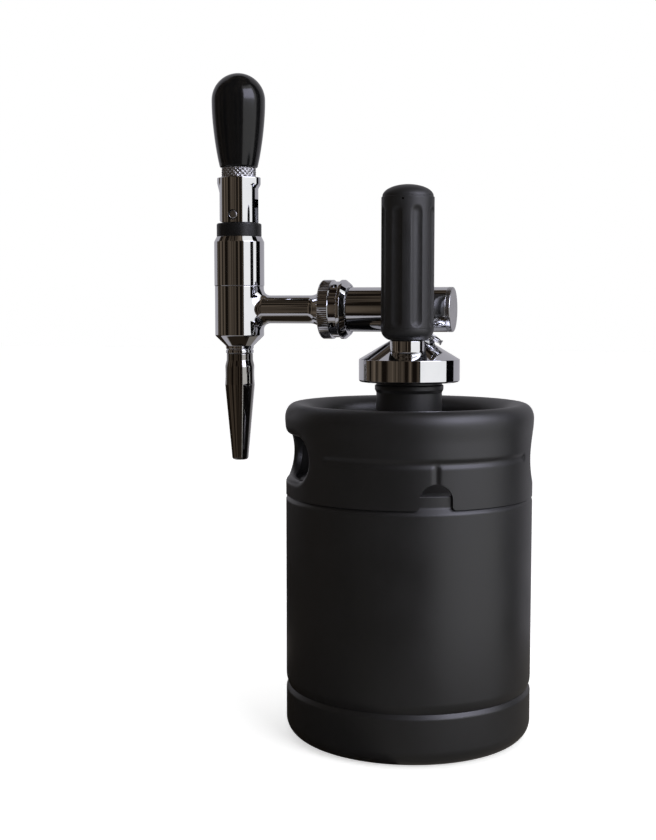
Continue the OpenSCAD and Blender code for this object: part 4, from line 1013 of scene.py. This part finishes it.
def lock_ring():
    """Ring with a diamond knurl of small pyramids between plain edges, drawn coarser than the real one."""
    bm = bmesh.new()
    pitch = math.tau * LOCK_R / DIAMONDS
    rows = int((lock_high - lock_low - LOCK_PLAIN) / pitch * DIAMOND_STEPS)
    margin = (lock_high - lock_low - rows * pitch / DIAMOND_STEPS) / 2
    outline(bm, [(LOCK_IN, lock_low), (LOCK_R - LOCK_EDGE, lock_low, 0.2), (LOCK_R, lock_low + margin),
                 (LOCK_R, lock_high - margin), (LOCK_R - LOCK_EDGE, lock_high, 0.2), (LOCK_IN, lock_high)],
            closed=True)
    side = [e for e in bm.edges if all(abs(v.co.x - LOCK_R) < SAME for v in e.verts)]
    bmesh.ops.subdivide_edges(bm, edges=side, cuts=rows - 1)
    spun(bm, DIAMOND_STEPS * DIAMONDS)
    for vert in bm.verts:
        radius = vert.co.xy.length
        if abs(radius - LOCK_R) < ON_SIDE:
            around = math.atan2(vert.co.y, vert.co.x) * LOCK_R / pitch
            climb = (vert.co.z - lock_low - margin) / pitch
            groove = max(abs(((around + climb) % 1) - 0.5), abs(((around - climb) % 1) - 0.5)) * 2
            vert.co.xy *= 1 - DIAMOND_DEPTH * groove / radius
    return bm


piece("lock_ring_knurled", over(TAP, lock_ring()), "lock_ring", sharp=20)

HANDLE_R, HANDLE_LOW_R = 14.59, 10.25
SOCKET_R, SOCKET_H = 6.02, 17.5
# The side's rounding is this share of the full arc, so that the belly stays a little fuller
SIDE_SHARE = 0.93
handle_low, handle_top = ends("tap_handle", Z)
handle_mid = handle_top - HANDLE_R
fall, swell = handle_mid - handle_low, HANDLE_R - HANDLE_LOW_R
side_r = (fall**2 + swell**2) / (2 * swell)
belly = handle_mid - side_r * math.tan(math.asin(fall / side_r) / 2)
socket_top = handle_low + SOCKET_H
handle = turned([(0, socket_top), (SOCKET_R, socket_top), (SOCKET_R, handle_low, 0.2),
                 (HANDLE_LOW_R, handle_low, 0.9), (HANDLE_R, belly, SIDE_SHARE * side_r),
                 (HANDLE_R, handle_top, HANDLE_R), (0, handle_top)])
piece("handle_moulding", over(TAP, handle), "tap_handle", sharp=60)


# Studio in metres: pale floor, soft window light, and the cards and dark room that the chrome mirrors

MIRROR_Z = 0.225
STREAK_LOW, STREAK_HIGH, STREAK_STRETCH = 0.42, 0.70, 0.06


def glow(name, colour, strength=1.0, streak=None, streaks=0.0):
    """The look of a card, with upright streaks where a second colour is given."""
    made = bpy.data.materials.new(name)
    made.use_nodes = True
    nodes = made.node_tree.nodes
    nodes.remove(nodes["Principled BSDF"])
    shine = add(nodes, "Emission", inputs={"Color": linear(colour), "Strength": strength})
    if streak:
        place = add(nodes, "TexCoord").outputs["Object"]
        upright = add(nodes, "Mapping", inputs={"Vector": place, "Scale": (1, 1, STREAK_STRETCH)})
        bands = add(nodes, "TexNoise", inputs={"Vector": upright.outputs[0], "Scale": streaks, "Detail": 2.0})
        sharper = add(nodes, "MapRange", inputs={"Value": bands.outputs["Fac"],
                                                 "From Min": STREAK_LOW, "From Max": STREAK_HIGH})
        tone = add(nodes, "Mix", {"data_type": "RGBA"},
                   {0: sharper.outputs[0], 6: linear(colour), 7: linear(streak)})
        made.node_tree.links.new(tone.outputs[2], shine.inputs["Color"])
    made.node_tree.links.new(shine.outputs[0], nodes["Material Output"].inputs["Surface"])
    return made


def card(name, bm, look):
    """A stage card that only shows in mirrors."""
    made = placed(name, meshed(name, bm))
    made.data.materials.append(look)
    made.visible_camera = made.visible_diffuse = made.visible_shadow = made.visible_transmission = False


def out_from(turn, rise):
    """The direction at a polar angle and an elevation."""
    a, e = math.radians(turn), math.radians(rise)
    return Vector((math.cos(e) * math.cos(a), math.cos(e) * math.sin(a), math.sin(e)))


def shell(radius, from_turn, to_turn, from_rise, to_rise):
    """Part of a sphere round the tap's height, between two polar angles and two elevations."""
    bm = bmesh.new()
    centre = Vector((0, 0, MIRROR_Z))
    t = math.radians(from_turn)
    start = bm.verts.new(centre + out_from(from_turn, from_rise) * radius)
    bmesh.ops.spin(bm, geom=[start], cent=centre, axis=(math.sin(t), -math.cos(t), 0),
                   angle=math.radians(to_rise - from_rise), steps=24)
    bmesh.ops.spin(bm, geom=bm.verts[:] + bm.edges[:], cent=(0, 0, 0), axis=(0, 0, 1),
                   angle=math.radians(to_turn - from_turn), steps=48)
    return bm


def disc(radius, x, y, z):
    bm = bmesh.new()
    bmesh.ops.create_circle(bm, cap_ends=True, segments=64, radius=radius)
    return moved(bm, x, y, z)


dark_room = glow("dark_room", "#17120e", streak="#75685a", streaks=2.8)
dark_bench = glow("dark_bench", "#2a231c")
card("studio_wall", shell(1.9, -180, 180, -89, 89), glow("studio_wall", "#b9b7bd"))
card("room_wall", shell(1.8, -193, -53, -32, 89), dark_room)
card("room_ceiling", shell(1.75, -53, 167, 60, 89), dark_room)
card("window_pane", shell(1.7, -53, 14, -26, 58), glow("window", "#ffffff", strength=1.25))
card("window_breast", shell(1.72, -53, 14, -44, -26), dark_room)
card("window_sky", shell(1.68, -50, 2, 13, 46), glow("window_sky", "#e9e9ff", strength=7.0))
card("side_card", shell(1.65, 14, 42, -45, 62), glow("black_card", "#060606"))
card("back_screen", shell(1.72, 100, 167, -32, -7), dark_room)
card("floor_card", disc(0.24, 0, 0, 0.0004), glow("worktop", "#7d7872"))
card("tap_mat", disc(0.125, -0.11, -0.02, 0.0005), dark_bench)
bench = out_from(150, 0) * 0.95
card("bench_card", disc(0.6, bench.x, bench.y, 0.0003), dark_bench)

FLOOR_SHARE = 0.55
FLOOR_HALF = 6
sheet = bmesh.new()
bmesh.ops.create_grid(sheet, x_segments=1, y_segments=1, size=FLOOR_HALF)
floor = placed("floor", meshed("floor", sheet))
floor.visible_glossy = False
paper = bpy.data.materials.new("white_paper")
paper.use_nodes = True
surface = paper.node_tree.nodes["Principled BSDF"].inputs
surface["Base Color"].default_value = linear("#f2f2f2")
surface["Roughness"].default_value = 0.9
surface["Emission Color"].default_value = linear("#ffffff")
seen = add(paper.node_tree.nodes, "LightPath").outputs["Is Camera Ray"]
lift = add(paper.node_tree.nodes, "Math", {"operation": "MULTIPLY"}, {0: seen, 1: FLOOR_SHARE})
paper.node_tree.links.new(lift.outputs[0], surface["Emission Strength"])
floor.data.materials.append(paper)

WORLD_FILL = 0.45
world = bpy.data.worlds.new("studio")
bpy.context.scene.world = world
world.use_nodes = True
sky = world.node_tree.nodes
path = add(sky, "LightPath").outputs
mirrored = add(sky, "Math", {"operation": "MAXIMUM"},
               {0: path["Is Glossy Ray"], 1: path["Is Transmission Ray"]})
shown = add(sky, "Math", {"operation": "MAXIMUM"}, {0: path["Is Camera Ray"], 1: mirrored.outputs[0]})
level = add(sky, "MapRange", inputs={"Value": shown.outputs[0], "To Min": WORLD_FILL, "To Max": 1.0})
sky["Background"].inputs["Color"].default_value = linear("#ffffff")
world.node_tree.links.new(level.outputs[0], sky["Background"].inputs["Strength"])

LIT_Z = 0.15


def lamp(name, turn, rise, distance, size, power):
    """A soft rectangle of light that faces the keg and doesn't show in mirrors."""
    light = bpy.data.lights.new(name, "AREA")
    light.shape = "RECTANGLE"
    light.size, light.size_y = size
    light.energy = power
    out = out_from(turn, rise)
    made = placed(name, light)
    made.location = out * distance + Vector((0, 0, LIT_Z))
    made.rotation_euler = out.to_track_quat("Z", "Y").to_euler()
    made.visible_glossy = False


lamp("window_light", turn=-38, rise=20, distance=1.5, size=(0.9, 1.3), power=16)
lamp("top_fill", turn=60, rise=68, distance=1.5, size=(1.2, 1.2), power=4.5)

# Camera at the photograph's place, for an upright frame of 656 by 840

CAMERA_AT = (0.1462, -0.6880, 0.2280)
CAMERA_AIM = Vector((-0.266, 0.960, -0.0863))
camera = bpy.data.cameras.new("camera")
camera.sensor_fit = "VERTICAL"
camera.sensor_height = 36
camera.lens = 57.09
viewer = placed("camera", camera)
viewer.location = CAMERA_AT
viewer.rotation_euler = CAMERA_AIM.to_track_quat("-Z", "Y").to_euler()
bpy.context.scene.camera = viewer
bpy.context.scene.view_settings.view_transform = "Standard"
